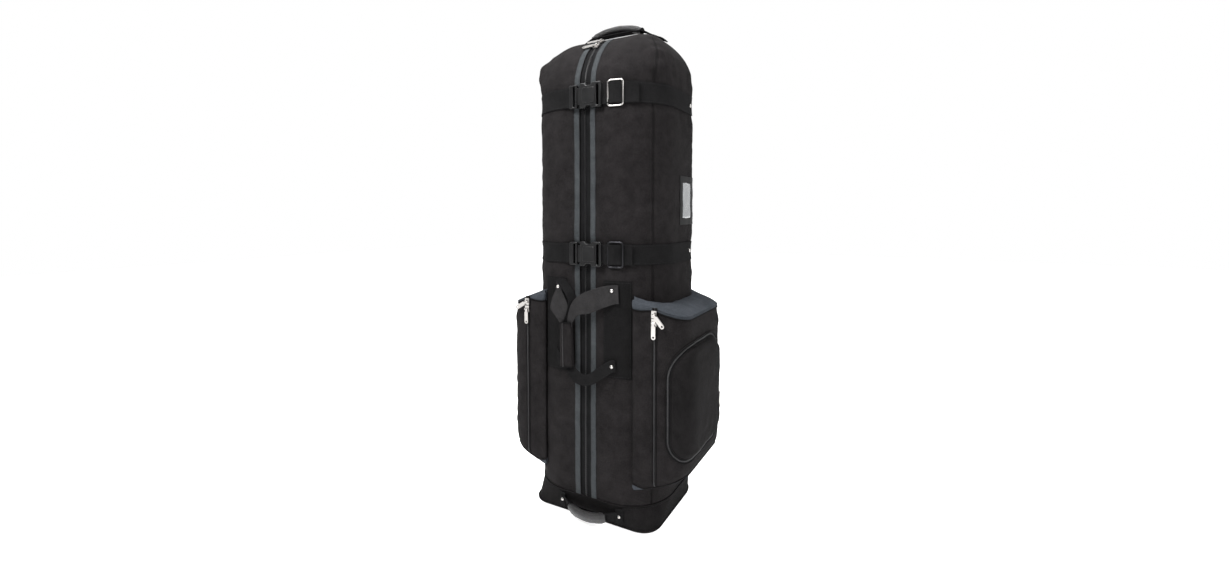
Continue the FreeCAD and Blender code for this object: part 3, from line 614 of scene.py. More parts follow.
# A catch's prong: distance from the catch's outer end, and from the strap's middle.
PRONG_OUTLINE = ((30, 12), (60, 13), (68, 17), (62, 21.5), (50, 20.5), (30, 20))


def plate_piece(name, outline, depth, thickness, material, bevel=0.8, holes=()):
    """A moulded plate from its outline in X and Z, standing on a plane at one depth."""
    curve = bpy.data.curves.new(name, "CURVE")
    curve.dimensions = "2D"
    curve.fill_mode = "BOTH"
    for loop in (outline, *holes):
        spline = curve.splines.new("POLY")
        spline.points.add(len(loop) - 1)
        for target, (x, z) in zip(spline.points, loop):
            target.co = (x * MM, z * MM, 0, 1)
        spline.use_cyclic_u = True
    curve.extrude = (thickness / 2 - bevel) * MM
    curve.bevel_depth = bevel * MM
    curve.bevel_resolution = 2
    curve.offset = -bevel * MM
    holder = add_object(name, curve)
    bpy.context.view_layer.update()
    mesh = bpy.data.meshes.new_from_object(holder)
    bpy.data.objects.remove(holder)
    turn = Matrix.Rotation(math.pi / 2, 4, "X")
    mesh.transform(Matrix.Translation((0, (-depth - thickness / 2) * MM, 0)) @ turn)
    mesh.name = name
    mesh.materials.clear()
    mesh.materials.append(material)
    return add_object(name, mesh)


def round_corners(left, right, low, high, top, bottom, turns):
    """Points round a rectangle whose top and bottom corners have their own radii."""
    points = []
    for x, z, radius, start in ((right - top, high - top, top, 0), (left + top, high - top, top, 90),
                                (left + bottom, low + bottom, bottom, 180),
                                (right - bottom, low + bottom, bottom, 270)):
        for index in range(turns + 1):
            angle = math.radians(start + 90 * index / turns)
            points.append((x + radius * math.cos(angle), z + radius * math.sin(angle)))
    return points


def rounded_outline(left, right, low, high, radius, turns=5):
    """A rectangle with round corners, as points in X and Z."""
    return round_corners(left, right, low, high, radius, radius, turns)


def buckle_body(name, level, depth):
    """Female half: a plain plate, notched above and below, with a bar for the webbing."""
    left, right, half = -8.0, 53.0, 31.0
    top = [(left + 2, half), (left + 14, half), (left + 18, half - 6), (left + 31, half - 6),
           (left + 35, half), (right - 3, half), (right, half - 3)]
    bottom = [(x, -z) for x, z in reversed(top)]
    outline = [(x, z + level) for x, z in top + bottom + [(left, -half + 2), (left, half - 2)]]
    outline.reverse()
    slot = [(x, z + level) for x, z in rounded_outline(right - 13.5, right - 6.5, -25.5, 25.5, 2)]
    body = plate_piece(f"{name}_buckle_body", outline, depth, 11.5, PLASTIC, 1.6, (slot, ))
    panel = rounded_outline(left + 7, right - 17, level - 19, level + 19, 5)
    raised = plate_piece(f"{name}_buckle_panel", panel, depth + 10.6, 2.2, PLASTIC, 1.0)
    return body, raised


def make_buckles():
    """Side-release buckles at both strap levels, with the rings of their adjusters."""
    depth = -box_mm("buckle_bodies")[1].y
    for name, level in STRAP_LEVELS.items():
        body, raised = buckle_body(name, level, depth)
        finish_piece(body, "buckle_plastic", *when(name == "upper", "buckle_bodies"))
        finish_piece(raised, "buckle_plastic")
        start = box_mm(f"{name}_buckle_catch")[0].x
        bar = rounded_outline(start, start + 23, level - 29, level + 29, 2.5)
        slot = rounded_outline(start + 11.5, start + 17, level - 25.5, level + 25.5, 2)
        catch = plate_piece(f"{name}_catch_bar", bar, depth + 0.8, 10.5, PLASTIC, 1.4, (slot, ))
        finish_piece(catch, "buckle_plastic", f"{name}_buckle_catch", body=f"{name}_catch")
        neck = rounded_outline(start + 20, start + 34, level - 21, level + 21, 1.5)
        base = plate_piece(f"{name}_catch_neck", neck, depth + 2.6, 6.0, PLASTIC, 0.9)
        finish_piece(base, "buckle_plastic", body=f"{name}_catch")
        for sign, label in ((-1, "low"), (1, "high")):
            prong = [(start + x, level + sign * z) for x, z in PRONG_OUTLINE][::sign]
            arm = plate_piece(f"{name}_catch_prong_{label}", prong, depth + 3.2, 5.0, PLASTIC, 0.9)
            finish_piece(arm, "buckle_plastic", body=f"{name}_catch")
        adjuster_ring(name, level)


def adjuster_ring(name, level):
    """Bent wire ring that the strap's tail is threaded through."""
    low, high = box_mm(f"{name}_adjuster_ring")
    half_x, half_z = (high.x - low.x) / 2 - 1.0, (high.z - low.z) / 2
    middle = (low.x + high.x) / 2
    lean = math.radians(8 if name == "upper" else 5)
    loop = rounded_outline(-half_x + 2.2, half_x - 2.2, -half_z + 2.2, half_z - 2.2, 7, 6)
    centre_y = (low.y + high.y) / 2 - 1.5
    points = [Vector((middle + x * math.cos(lean), centre_y + x * math.sin(lean), level + z))
              for x, z in loop]
    metal, slot = (NICKEL, "nickel") if name == "upper" else (DARK_METAL, "dark_metal")
    wire = piping(f"{name}_ring_wire", points + [points[0]], 2.1, metal, slot=slot)
    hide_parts(f"{name}_adjuster_ring")


def edge_tracks(columns, level, lift, inset=3.2):
    """Stitch rows along both edges of a strap."""
    return [skin_track([(run, level + sign * (STRAP_HALF - inset)) for run in columns], lift)
            for sign in (-1, 1)]


def make_straps():
    """Webbing from the side rivets to the buckles, the folded tails and the rivets."""
    rivet_run = SIDE_START + SIDE_HALF + 59.0
    end_run = rivet_run + 16.0
    for name, level in STRAP_LEVELS.items():
        is_upper = name == "upper"
        ups = steps(level - STRAP_HALF, level + STRAP_HALF, 5)
        tracks = []
        for side, columns in (("left", steps(-end_run, -30.0, 5)), ("right", steps(52.0, end_run, 5))):
            strap = soften(skin_patch(f"{name}_{side}_webbing", columns, ups, 3.4, WEBBING, 2.0), 0.5)
            finish_piece(strap, "webbing", *when(is_upper, f"{side}_straps"))
            tracks += edge_tracks(columns, level, 3.5)

        def loop_point(run, up):
            return skin(run, up, 6.2 + 5.0 * smooth(run, -58, -34))

        fold = sheet(f"{name}_catch_loop", steps(-62.0, -28.0, 3), ups, loop_point, WEBBING, 1.8)
        finish_piece(soften(fold, 0.5), "webbing", body=f"{name}_catch")

        tail_end = 143.0 if is_upper else 128.0

        def tail_point(run, up):
            through = 5.2 * hump(run, 84, 17)
            lift = 6.0 + through + 3.2 * smooth(run, 118, tail_end) + 4.0 * (1 - smooth(run, 50, 60))
            return skin(run, up, lift)

        tail = sheet(f"{name}_strap_tail", steps(50.0, tail_end, 3), ups, tail_point, WEBBING, 2.0)
        finish_piece(soften(tail, 0.5), "webbing")

        sewn_box = box_loop(rivet_run - 12, rivet_run + 12, -16, 16)
        for side in (-1, 1):
            tracks.append(skin_track([(side * run, level + up) for run, up in sewn_box], 3.5))
        stitches(f"{name}_strap_stitches", tracks, THREAD)
        for label, side in reversed(mirrored_sides()):
            rivet(f"{name}_{label}_rivet", skin(side * rivet_run, level, 3.2), Vector((side, 0, 0)),
                  when(is_upper and side > 0, "strap_rivets"))


def rivet(name, place, normal, nodes=(), radius=5.0):
    """A domed rivet head with a rim."""
    profile = [(radius, 0.0), (radius, 0.7), (radius * 0.9, 1.25), (radius * 0.7, 1.5),
               (radius * 0.62, 1.9), (radius * 0.4, 2.5), (0.05, 2.75)]
    turn = Vector((0, 0, 1)).rotation_difference(normal).to_matrix()
    sides = 20
    angles = [2 * math.pi * k / sides for k in range(sides)]
    rows = [[turn @ Vector((run * math.cos(a), run * math.sin(a), height)) + place for a in angles]
            for run, height in profile]
    uvs = [[(point.x, point.z) for point in ring] for ring in rows]
    piece = grid(name, rows, NICKEL, uvs, closed=True)
    return finish_piece(piece, "nickel", *nodes)


# ---- handles


HANDLES = {
    "top": {"half_span": 104.0, "rise": 28.0, "grip": 77.0},
    "foot": {"half_span": 75.0, "rise": 26.0, "grip": 56.0},
}
HANDLE_OFFSETS = (-12.5, -6, 0, 6, 12.5)
TAB_OFFSETS = (-19, -12, -5, 5, 12, 19)
# Boxed and crossed stitching: share of the tab's length, and distance from its middle line.
CROSSED_BOX = ((0.0, -9), (0.85, -9), (0.85, 9), (0.0, 9), (0.0, -9), (0.85, 9), (0.85, -9), (0.0, 9))


def bow_frame(name, run):
    """Centre and outward direction of a handle's bow at one run from its middle."""
    half_span, rise = HANDLES[name]["half_span"], HANDLES[name]["rise"]
    bend = (half_span ** 2 + rise ** 2) / (2 * rise)
    angle = run / bend
    centre = Vector((bend * math.sin(angle), 0, rise - bend + bend * math.cos(angle)))
    return centre, Vector((math.sin(angle), 0, math.cos(angle)))


def handle_grip(name, place):
    """Padded grip: a stitched tube that swells between its bound ends."""
    half = HANDLES[name]["grip"]
    body = f"{name}_handle"
    runs = steps(-half, half, 4)
    sides = 28
    rows = []
    for run in runs:
        centre, out = bow_frame(name, run)
        end = smooth(abs(run), half - 13, half)
        width = (14.4 - 3.2 * end) * (1 + 0.02 * math.sin(run / 6))
        height = (9.4 - 2.4 * end) * (1 + 0.02 * math.sin(run / 7 + 1))
        ring = []
        for k in range(sides):
            angle = 2 * math.pi * k / sides
            c, s = math.cos(angle), math.sin(angle)
            shape = squircle(c, s, 2.6)
            wobble = 1 + 0.018 * noise.noise(Vector((run / 14, c * 2, s * 2)))
            pinch = 1 - 0.10 * hump(angle, 1.5 * math.pi, 0.22)
            ring.append(place @ (centre + Vector((0, 1, 0)) * width * shape * c * wobble
                                 + out * height * shape * s * wobble * pinch))
        rows.append(ring)
    uvs = [[(run, k * 3.0) for k in range(sides)] for run in runs]
    piece = grid(f"{name}_grip_cover", rows, GRIP, uvs, closed=True)
    finish_piece(piece, "grip", f"{name}_handle_grip", body=body)
    for side, sign in reversed(mirrored_sides()):
        centre, out = bow_frame(name, sign * half)
        loop = []
        for k in range(25):
            angle = 2 * math.pi * k / 24
            c, s = math.cos(angle), math.sin(angle)
            loop.append(place @ (centre + Vector((0, 11.6 * c, 0)) + out * 7.6 * s))
        piping(f"{name}_grip_binding_{side}", loop, 1.3, WEBBING, body, "grip")
    track = []
    for run in runs:
        centre, out = bow_frame(name, run)
        track.append((place @ (centre - out * 9.6), (place.to_3x3() @ -out).normalized()))
    stitches(f"{name}_grip_seam", [track], THREAD, body, "grip", 3.6, 1.1)


def handle_webbing(name, place, feet):
    """Webbing from one sewn foot, through the grip, to the other foot."""
    half = HANDLES[name]["grip"]
    path = []
    for sign in (-1, 1):
        part = list(feet(sign))
        for run in (half + 20, half + 12, half + 5, half - 3):
            centre, out = bow_frame(name, sign * run)
            part.append((place @ centre, (place.to_3x3() @ out).normalized()))
        path += part[::-sign]
    across = (place.to_3x3() @ Vector((0, 1, 0))).normalized()
    rows = [[point + across * offset for offset in HANDLE_OFFSETS] for point, _ in path]
    uvs = [[(offset, index * 9.0) for offset in HANDLE_OFFSETS] for index in range(len(rows))]
    piece = grid(f"{name}_handle_webbing", rows, WEBBING, uvs)
    rounding = piece.modifiers.new("round", "SUBSURF")
    rounding.levels = rounding.render_levels = 2
    finish_piece(thicken(piece, 2.6, 0.0), "webbing", f"{name}_handle_strap", body=f"{name}_handle")


def make_top_handle():
    """Top handle with its boxed and crossed stitching on the crown."""
    place = Matrix.Translation((0, 0, CROWN + 5.0))
    handle_grip("top", place)

    def feet(sign):
        points = []
        for x in (136, 122, 108):
            above = max(0.0, x - (HALF_WIDTH - SHOULDER))
            drop = SHOULDER - math.sqrt(SHOULDER ** 2 - above ** 2)
            lean = Vector((sign * above / SHOULDER, 0, 1)).normalized()
            points.append((Vector((sign * x, 0, CROWN - drop + 3.2 + (1.5 if x == 108 else 0))), lean))
        return points

    handle_webbing("top", place, feet)
    tabs("top", feet, Vector((0, 1, 0)))


def tabs(name, feet, across):
    """Sewn tabs that hold a handle's webbing."""
    for side, sign in reversed(mirrored_sides()):
        ends = feet(sign)
        start, finish = ends[0][0], ends[-1][0]
        along = finish - start
        out = along.cross(across).normalized()
        if out.dot(Vector((0, -1, 1))) < 0:
            out = -out
        rows = []
        for t in (-0.25, 0.1, 0.5, 0.9, 1.0):
            place = start + along * t
            rows.append([place + across * offset + out * (0.4 - 0.0022 * offset * offset)
                         for offset in TAB_OFFSETS])
        uvs = [[(offset, row * 8.0) for offset in TAB_OFFSETS] for row in range(len(rows))]
        tab = soften(thicken(grid(f"{name}_tab_{side}", rows, WEBBING, uvs), 2.4, 0.0), 0.5)
        finish_piece(tab, "webbing", *when(name == "top" and sign > 0, "handle_anchors"))
        track = [(start + along * t + across * offset + out * 2.6, out) for t, offset in CROSSED_BOX]
        stitches(f"{name}_tab_stitches_{side}", [track], THREAD, pitch=3.2, width=1.0)


def make_foot_handle():
    """Lower handle on the boot, riveted at both ends."""
    low, high = box_mm("foot_handle_grip")
    shift = (low.x + high.x) / 2
    level = 36.0
    place = Matrix.Translation((shift, -171, level)) @ Matrix.Rotation(math.radians(112), 4, "X")
    handle_grip("foot", place)

    def feet(sign):
        return [(Vector((shift + sign * x, -lift, level)), FORWARD)
                for x, lift in ((91, 169.0), (84, 170.0), (76, 173.0))]

    handle_webbing("foot", place, feet)
    tabs("foot", feet, Vector((0, 0, 1)))
    for side, sign in reversed(mirrored_sides()):
        rivet(f"foot_handle_rivet_{side}", Vector((shift + sign * 85, -172.4, level)), FORWARD, radius=4.0)


# ---- carry handle

CARRY_FRONT = -178.5
RIBBON_SHARES = (-0.5, -0.46, -0.25, 0, 0.25, 0.46, 0.5)
# Each piece of webbing: material, CAD nodes it stands for, name of its stitches, and its stations as
# X, distance behind CARRY_FRONT, height, direction across the webbing, and width.
CARRY_WEBBING = {
    # The two loop faces use the lighter webbing copy, whose extra brightness is a painted highlight for
    # their lit side.
    "left_loop_face": (WEBBING_PAINTED_LIT, ("left_carry_webbing",), "left_loop_stitches", (
        (-80, 1.5, 618, 1, 0, 0.0, 14), (-77, -1.5, 600, 1, 0, 0.05, 15),
        (-72, -9, 576, 1, 0.08, 0.10, 38), (-68, -12, 552, 1, 0.08, 0.15, 52),
        (-65, -12, 530, 1, 0.05, 0.05, 30), (-62, -11, 512, 1, 0.0, 0.05, 10),
        (-60, -9, 496, 1, 0.0, 0.0, 10),
    )),
    "left_loop_return": (WEBBING, (), None, (
        (-80, 2.0, 626, 0.9, 0.3, 0.5, 22), (-60, -2, 612, 0.7, 0.6, 0.7, 24),
        (-40, -6, 592, 0.6, 0.8, 0.4, 24), (-31, -8, 568, 0.7, 0.7, 0, 22),
        (-36, -9, 540, 0.8, 0.6, -0.2, 20), (-46, -10, 514, 1, 0.1, 0, 20), (-48, -10, 496, 1, 0.0, 0, 20),
    )),
    "left_loop_tail": (WEBBING, (), None, (
        (-84, 1.0, 432, 0, 0, 1, 26), (-78, 0, 417, 0.25, 0, 1, 28), (-62, -2, 405, 0.5, 0, 1, 26),
        (-48, -5, 404, 1, 0, 0.35, 24), (-46, -9, 420, 1, 0, 0, 26),
    )),
    "right_loop_face": (WEBBING_PAINTED_LIT, ("right_carry_webbing",), "right_loop_stitches", (
        (98, 2.0, 596, 0.05, 0, -1, 46), (82, 1.0, 594, 0.08, 0, -1, 48), (60, -4, 588, 0.14, 0.0, -1, 52),
        (34, -10, 578, 0.18, 0.05, -1, 54), (10, -14, 568, 0.30, 0.10, -1, 53),
        (-12, -17, 556, 0.62, 0.15, -1, 38), (-25, -17, 538, 1, 0.15, -0.75, 24),
        (-34, -14, 518, 1, 0.1, -0.15, 15), (-38, -11, 500, 1, 0.0, 0.0, 14),
    )),
    "right_loop_lower": (WEBBING, (), "right_loop_lower_stitches", (
        (-40, -9, 424, 1, 0, 0, 22), (-37, -10, 408, 1, 0.1, -0.2, 23), (-25, -13, 388, 0.8, 0.4, 0.6, 26),
        (-2, -14, 375, 0.3, 0.5, 1, 28), (24, -11, 378, -0.2, 0.35, 1, 29), (50, -4, 396, -0.5, 0.1, 1, 30),
        (76, 0, 414, -0.3, 0, 1, 30), (90, 1.0, 418, -0.1, 0, 1, 30),
    )),
}


def ribbon(name, stations, material):
    """Webbing through stations of (centre, across, width), smoothed between them."""
    def blend_at(values, t):
        index = min(int(t), len(values) - 2)
        u = t - index
        a = values[max(index - 1, 0)]
        b, c = values[index], values[index + 1]
        d = values[min(index + 2, len(values) - 1)]
        return (b * 2 + (c - a) * u + (a * 2 - b * 5 + c * 4 - d) * u * u
                + (b * 3 - a - c * 3 + d) * u ** 3) * 0.5

    centres = [Vector(centre) for centre, _, _ in stations]
    acrosses = [Vector(across).normalized() for _, across, _ in stations]
    widths = [Vector((width, 0, 0)) for _, _, width in stations]
    length = sum((b - a).length for a, b in zip(centres, centres[1:]))
    count = max(4, int(length / 3.5))
    rows = []
    uvs = []
    for index in range(count + 1):
        t = (len(stations) - 1) * index / count
        centre = blend_at(centres, t)
        across = blend_at(acrosses, t).normalized()
        width = blend_at(widths, t).x
        rows.append([centre + across * width * share for share in RIBBON_SHARES])
        uvs.append([(width * share, length * index / count) for share in RIBBON_SHARES])
    return thicken(grid(name, rows, material, uvs), 1.8, 0.0), rows


def edge_stitches(name, rows):
    """Stitch rows along both edges of a ribbon."""
    tracks = []
    for edge in (0, 6):
        track = []
        for above, row in zip(rows, rows[1:]):
            normal = (row[6] - row[0]).cross(row[3] - above[3]).normalized()
            if normal.dot(FORWARD) < 0:
                normal = -normal
            track.append((row[edge].lerp(row[3], 0.14) + normal * 1.0, normal))
        tracks.append(track)
    stitches(name, tracks, THREAD, "case", "webbing", 3.8, 0.8)


def make_carry_handle():
    """Patches, the two webbing loops gathered in a wrap, and the studs."""
    low, high = box_mm("carry_patches")
    inner = 54.0
    for name, side in mirrored_sides():
        arounds = ordered(steps(inner, 127.5, 4), side)
        patch = skin_patch(f"{name}_carry_patch", arounds, steps(low.z, high.z, 6), 2.0, PATCH, 1.8)
        finish_piece(soften(patch, 0.5), "vinyl", *when(side > 0, "carry_patches"))
        loop = box_loop(inner + 4, 123.5, low.z + 4, high.z - 4)
        track = []
        for (a, u), (b, v) in zip(loop, loop[1:]):
            count = max(1, int(max(abs(b - a), abs(v - u)) / 6))
            track += [(side * lerp(a, b, k / count), lerp(u, v, k / count)) for k in range(count)]
        stitches(f"{name}_patch_stitches", [skin_track(track, 2.1)], THREAD, slot="vinyl")

    for name, (material, nodes, sewn, table) in CARRY_WEBBING.items():
        stations = [((x, CARRY_FRONT + y, z), (ax, ay, az), width) for x, y, z, ax, ay, az, width in table]
        piece, rows = ribbon(name, stations, material)
        finish_piece(piece, "webbing", *nodes)
        if sewn:
            edge_stitches(sewn, rows)
    make_carry_wrap()
    for label, x, z in (("left", -80, 604), ("right_upper", 80, 604), ("right_lower", 80, 415)):
        rivet(f"carry_stud_{label}", Vector((x, CARRY_FRONT - 0.8, z)), FORWARD,
              when(label == "left", "carry_studs"), radius=4.4)


def make_carry_wrap():
    """The padded wrap that gathers both webbing loops."""
    low, high = box_mm("carry_grip_wrap")
    centre_x, half_x = (low.x + high.x) / 2, (high.x - low.x) / 2
    centre_y, half_y = (low.y + high.y) / 2, (high.y - low.y) / 2
    ups = steps(low.z, high.z, 5)
    sides = 44
    rows = []
    for up in ups:
        t = (up - low.z) / (high.z - low.z)
        ring = []
        for k in range(sides):
            angle = 2 * math.pi * k / sides
            c, s = math.cos(angle), math.sin(angle)
            shape = squircle(c, s, 3.4)
            wave = 1 + 0.03 * noise.noise(Vector((c * 1.5, s * 1.5, up / 22)))
            ring.append(Vector((
                centre_x - 3.0 * t + half_x * (0.94 - 0.12 * t) * shape * c * wave,
                centre_y + half_y * 0.95 * shape * s * wave,
                up + 1.5 * c,
            )))
        rows.append(ring)
    uvs = [[(k * 3.0, up) for k in range(sides)] for up in ups]
    wrap = soften(thicken(grid("carry_wrap", rows, SHELL, uvs, closed=True), 2.4), 0.5)
    finish_piece(wrap, "webbing", "carry_grip_wrap")
    flap, seam = ([row[index] + Vector((0, -0.7, 0)) for row in rows] for index in (31, 35))
    piping("carry_wrap_flap", flap, 1.2, GRIP, slot="webbing")
    stitches("carry_wrap_stitches", [[(point, FORWARD) for point in seam]], THREAD)
    for label, row in (("low", rows[0]), ("high", rows[-1])):
        piping(f"carry_wrap_binding_{label}", row + [row[0]], 1.5, WEBBING, slot="webbing")


# ---- card holder


def make_card_holder():
    """Vinyl frame with a bound edge and a clear window over a card."""
    low, high = box_mm("card_holder_frame")
    pane_low, pane_high = box_mm("card_holder_window")
    start = SIDE_START + SIDE_HALF

    def frame_point(y, up, lift=2.4):
        return skin(start + y, up, lift, 0.8)

    def lines(outer_low, inner_low, inner_high, outer_high):
        return (steps(outer_low, inner_low, 4) + steps(inner_low, inner_high, 6)[1:]
                + steps(inner_high, outer_high, 4)[1:])

    across = lines(low.y, pane_low.y, pane_high.y, high.y)
    ups = lines(low.z, pane_low.z, pane_high.z, high.z)
    width = len(across)
    faces = []
    for i in range(len(ups) - 1):
        for j in range(width - 1):
            y, up = (across[j] + across[j + 1]) / 2, (ups[i] + ups[i + 1]) / 2
            if pane_low.y < y < pane_high.y and pane_low.z < up < pane_high.z:
                continue
            a = i * width + j
            faces.append((a, a + 1, a + width + 1, a + width))
    uvs = [(y, up) for up in ups for y in across]
    border = new_object("card_frame", [frame_point(y, up) for y, up in uvs], faces, VINYL, uvs)
    finish_piece(soften(thicken(border, 2.2), 0.6), "vinyl", "card_holder_frame")
    pane_columns = steps(pane_low.y - 1, pane_high.y + 1, 5)
    rows = [[frame_point(y, up, 1.5 + 1.0 * hump(y, 25, 30)) for y in pane_columns]
            for up in steps(pane_low.z - 1, pane_high.z + 1, 5)]
    uvs = [[(j, i) for j in range(len(rows[0]))] for i in range(len(rows))]
    film = thicken(grid("card_window", rows, FILM, uvs), 0.7)
    finish_piece(film, "clear_film", "card_holder_window")
    tracks = []
    for inset, inner, outer in ((3.0, low, high), (-3.0, pane_low, pane_high)):
        corners = box_loop(inner.y + inset, outer.y - inset, inner.z + inset, outer.z - inset)
        track = []
        for pair in zip(corners, corners[1:]):
            track += [(frame_point(y, up, 2.6), Vector((1, 0, 0))) for y, up in pair]
        tracks.append(track)
    stitches("card_frame_stitches", tracks, THREAD, slot="vinyl")


# ---- side pockets

POCKET_FRONT = 165.0
top_low, top_high = box_mm("right_pocket_top")
POCKET_INNER = top_low.x
POCKET_REACH = top_high.x
POCKET_BACK = top_high.y
POCKET_LOW = box_mm("pocket_bottoms")[0].z
TOP_INNER = top_high.z
TOP_SLOPE = -0.331
FLOOR_SLOPE = 0.3615
FRONT_ROUND = 67.0
BACK_ROUND = 40.0
LEAD_IN = 13.0
ARC_START = LEAD_IN + POCKET_REACH - FRONT_ROUND - POCKET_INNER
ARC_END = ARC_START + FRONT_ROUND * math.pi / 2
REAR_START = ARC_END + (POCKET_BACK - BACK_ROUND) + (POCKET_FRONT - FRONT_ROUND)
REAR_END = REAR_START + BACK_ROUND * math.pi / 2
POCKET_RUN = REAR_END + POCKET_REACH - BACK_ROUND - POCKET_INNER
ZIP_X = sum(v.x for v in (box_mm("right_lower_slider"))) / 2
ZIP_RUN = LEAD_IN + ZIP_X - POCKET_INNER
SMALL_LOW, SMALL_HIGH = (v.z for v in box_mm("small_pocket_panel"))
SMALL_END = ARC_END + (POCKET_FRONT - FRONT_ROUND) + box_mm("small_pocket_panel")[1].y
SMALL_START = ARC_START + FRONT_ROUND * math.radians(30)
SMALL_RISE = 14.0
ARCH_ROUND = 74.0
SMALL_ROUND = 48.0
# Rows of a pocket's pale panel: below 0 on the lip over the wall, and from 0 to 1 in to the case.
CAP_STATIONS = (-1.0, -0.75, -0.45, -0.2, 0.0, 0.03, 0.12, 0.3, 0.5, 0.7, 0.88, 1.0)


def pocket_plan(run):
    """Point and outward normal of the right pocket's outline, from its inner front edge to the back."""
    if run <= LEAD_IN:
        lead_out = Vector((-0.6, -0.8, 0)).normalized()
        return Vector((POCKET_INNER, -POCKET_FRONT + (LEAD_IN - run), 0)), lead_out
    if run <= ARC_START:
        return Vector((POCKET_INNER + run - LEAD_IN, -POCKET_FRONT, 0)), Vector((0, -1, 0))
    if run <= ARC_END:
        angle = (run - ARC_START) / FRONT_ROUND
        out = Vector((math.sin(angle), -math.cos(angle), 0))
        return Vector((POCKET_REACH - FRONT_ROUND, -POCKET_FRONT + FRONT_ROUND, 0)) + out * FRONT_ROUND, out
    if run <= REAR_START:
        return Vector((POCKET_REACH, -POCKET_FRONT + FRONT_ROUND + run - ARC_END, 0)), Vector((1, 0, 0))
    if run <= REAR_END:
        angle = (run - REAR_START) / BACK_ROUND
        out = Vector((math.cos(angle), math.sin(angle), 0))
        return Vector((POCKET_REACH - BACK_ROUND, POCKET_BACK - BACK_ROUND, 0)) + out * BACK_ROUND, out
    return Vector((POCKET_REACH - BACK_ROUND - (run - REAR_END), POCKET_BACK, 0)), Vector((0, 1, 0))


def pocket_top(x):
    """Height of a pocket's top seam."""
    return TOP_INNER + TOP_SLOPE * (x - POCKET_INNER)


def pocket_floor(x):
    """Height of a pocket's bottom seam, which climbs outward."""
    return POCKET_LOW + FLOOR_SLOPE * (x - POCKET_INNER)


def wrap_over(run):
    """How far the pale top panel folds down over the wall: deepest at the inner front corner."""
    return 8.0 + 19.0 * (1 - smooth(run, LEAD_IN, 78))


def wrap_under(run):
    """How far the pale bottom panel shows below the wall's inner front corner."""
    return 1.0 + 20.0 * (1 - smooth(run, 4, 46))


def pocket_relief(run, up, side):
    """Bulges and folds of a stuffed pocket."""
    plan, _ = pocket_plan(run)
    top = pocket_top(plan.x)
    floor = pocket_floor(plan.x)
    probe = Vector((run / 62, up / 48, side * 5.0))
    fold = noise.noise(probe) * 3.6 + noise.noise(probe * 2.7) * 1.9
    edge = smooth(up, floor, floor + 60) * (1 - smooth(up, top - 60, top))
    ends = smooth(run, 2, 40) * (1 - smooth(run, POCKET_RUN - 40, POCKET_RUN))
    zip_line = 1 - 0.8 * hump(run, ZIP_RUN, 16)
    wave = 1.5 * math.sin(up / 29 + run / 60 + side) * hump(run, REAR_START - 10, 60)
    sag = -2.5 * hump(up, top - 14, 16) * smooth(run, 30, 70)
    band = 1.0
    if side > 0:
        inside = hump((run - (SMALL_START + SMALL_END) / 2) / 150, 0, 1.0) * hump((up - 338) / 150, 0, 1.0)
        band = 1 - 0.75 * inside
    return (2.4 + fold + wave) * edge * ends * zip_line * band + sag * ends


def pocket_skin(run, up, side, lift=0.0):
    """Point on a pocket's wall."""
    plan, out = pocket_plan(run)
    distance = pocket_relief(run, up, side) + lift
    point = plan + out * distance
    floor = pocket_floor(plan.x)
    drop = 16.0 * (1 - smooth(up, floor, floor + 20)) ** 2
    point -= out * drop * 0.30
    return Vector((side * point.x, point.y, up))


def make_pocket(name, side):
    """Wall, wrapped grey top, bottom, piping and front zipper of one side pocket."""
    runs = steps(0, LEAD_IN, 5) + steps(LEAD_IN, POCKET_RUN, 5.5)[1:]
    outward = runs[::side]

    def wall_point(run, t):
        x = pocket_plan(run)[0].x
        up = lerp(pocket_floor(x) + wrap_under(run), pocket_top(x) - wrap_over(run), t)
        return pocket_skin(run, up, side)

    wall = sheet(f"{name}_pocket_cloth", outward, steps(0, 1, 1 / 72), wall_point, SHELL, 2.2,
                 uv=lambda run, t: (run, lerp(POCKET_LOW, 560, t)))
    finish_piece(wall, "shell_fabric", f"{name}_pocket_panel")
    for label, lip in (("top", wrap_over), ("bottom", wrap_under)):
        pocket_cap(name, side, label, lip, runs)

    seam_runs = steps(LEAD_IN, POCKET_RUN - 2, 4)
    for label, edge, lip, toward, lift, radius in (("top", pocket_top, wrap_over, -1, 1.2, 1.1),
                                                   ("bottom", pocket_floor, wrap_under, 1, 0.6, 1.5)):
        seam = [pocket_skin(run, edge(pocket_plan(run)[0].x) + toward * lip(run), side, lift)
                for run in seam_runs]
        piping(f"{name}_pocket_{label}_seam", seam, radius, LINING)
    front_seam = [pocket_skin(LEAD_IN * 0.9, up, side, 0.3) for up in steps(POCKET_LOW, TOP_INNER, 6)]
    piping(f"{name}_pocket_front_seam", front_seam, 1.4, LINING)

    ups = steps(pocket_floor(ZIP_X) + 5, box_mm("pocket_zippers")[1].z + 4, 5)
    tape = sheet(f"{name}_pocket_zip_tape", steps(ZIP_RUN - 7, ZIP_RUN + 7, 2)[::side], ups,
                 lambda run, up: pocket_skin(run, up, side, 0.4), TAPE, 0.8, 0.0)
    finish_piece(tape, "zipper", *when(side > 0, "pocket_zippers"))
    for offset, label in ((-4.2, "inner"), (4.2, "outer")):
        lip_line = [pocket_skin(ZIP_RUN + offset, up, side, 1.0) for up in ups]
        piping(f"{name}_pocket_zip_lip_{label}", lip_line, 1.3, SHELL, slot="zipper")
    coil(f"{name}_pocket_coil", [(pocket_skin(ZIP_RUN, up, side, 1.1), FORWARD) for up in ups])


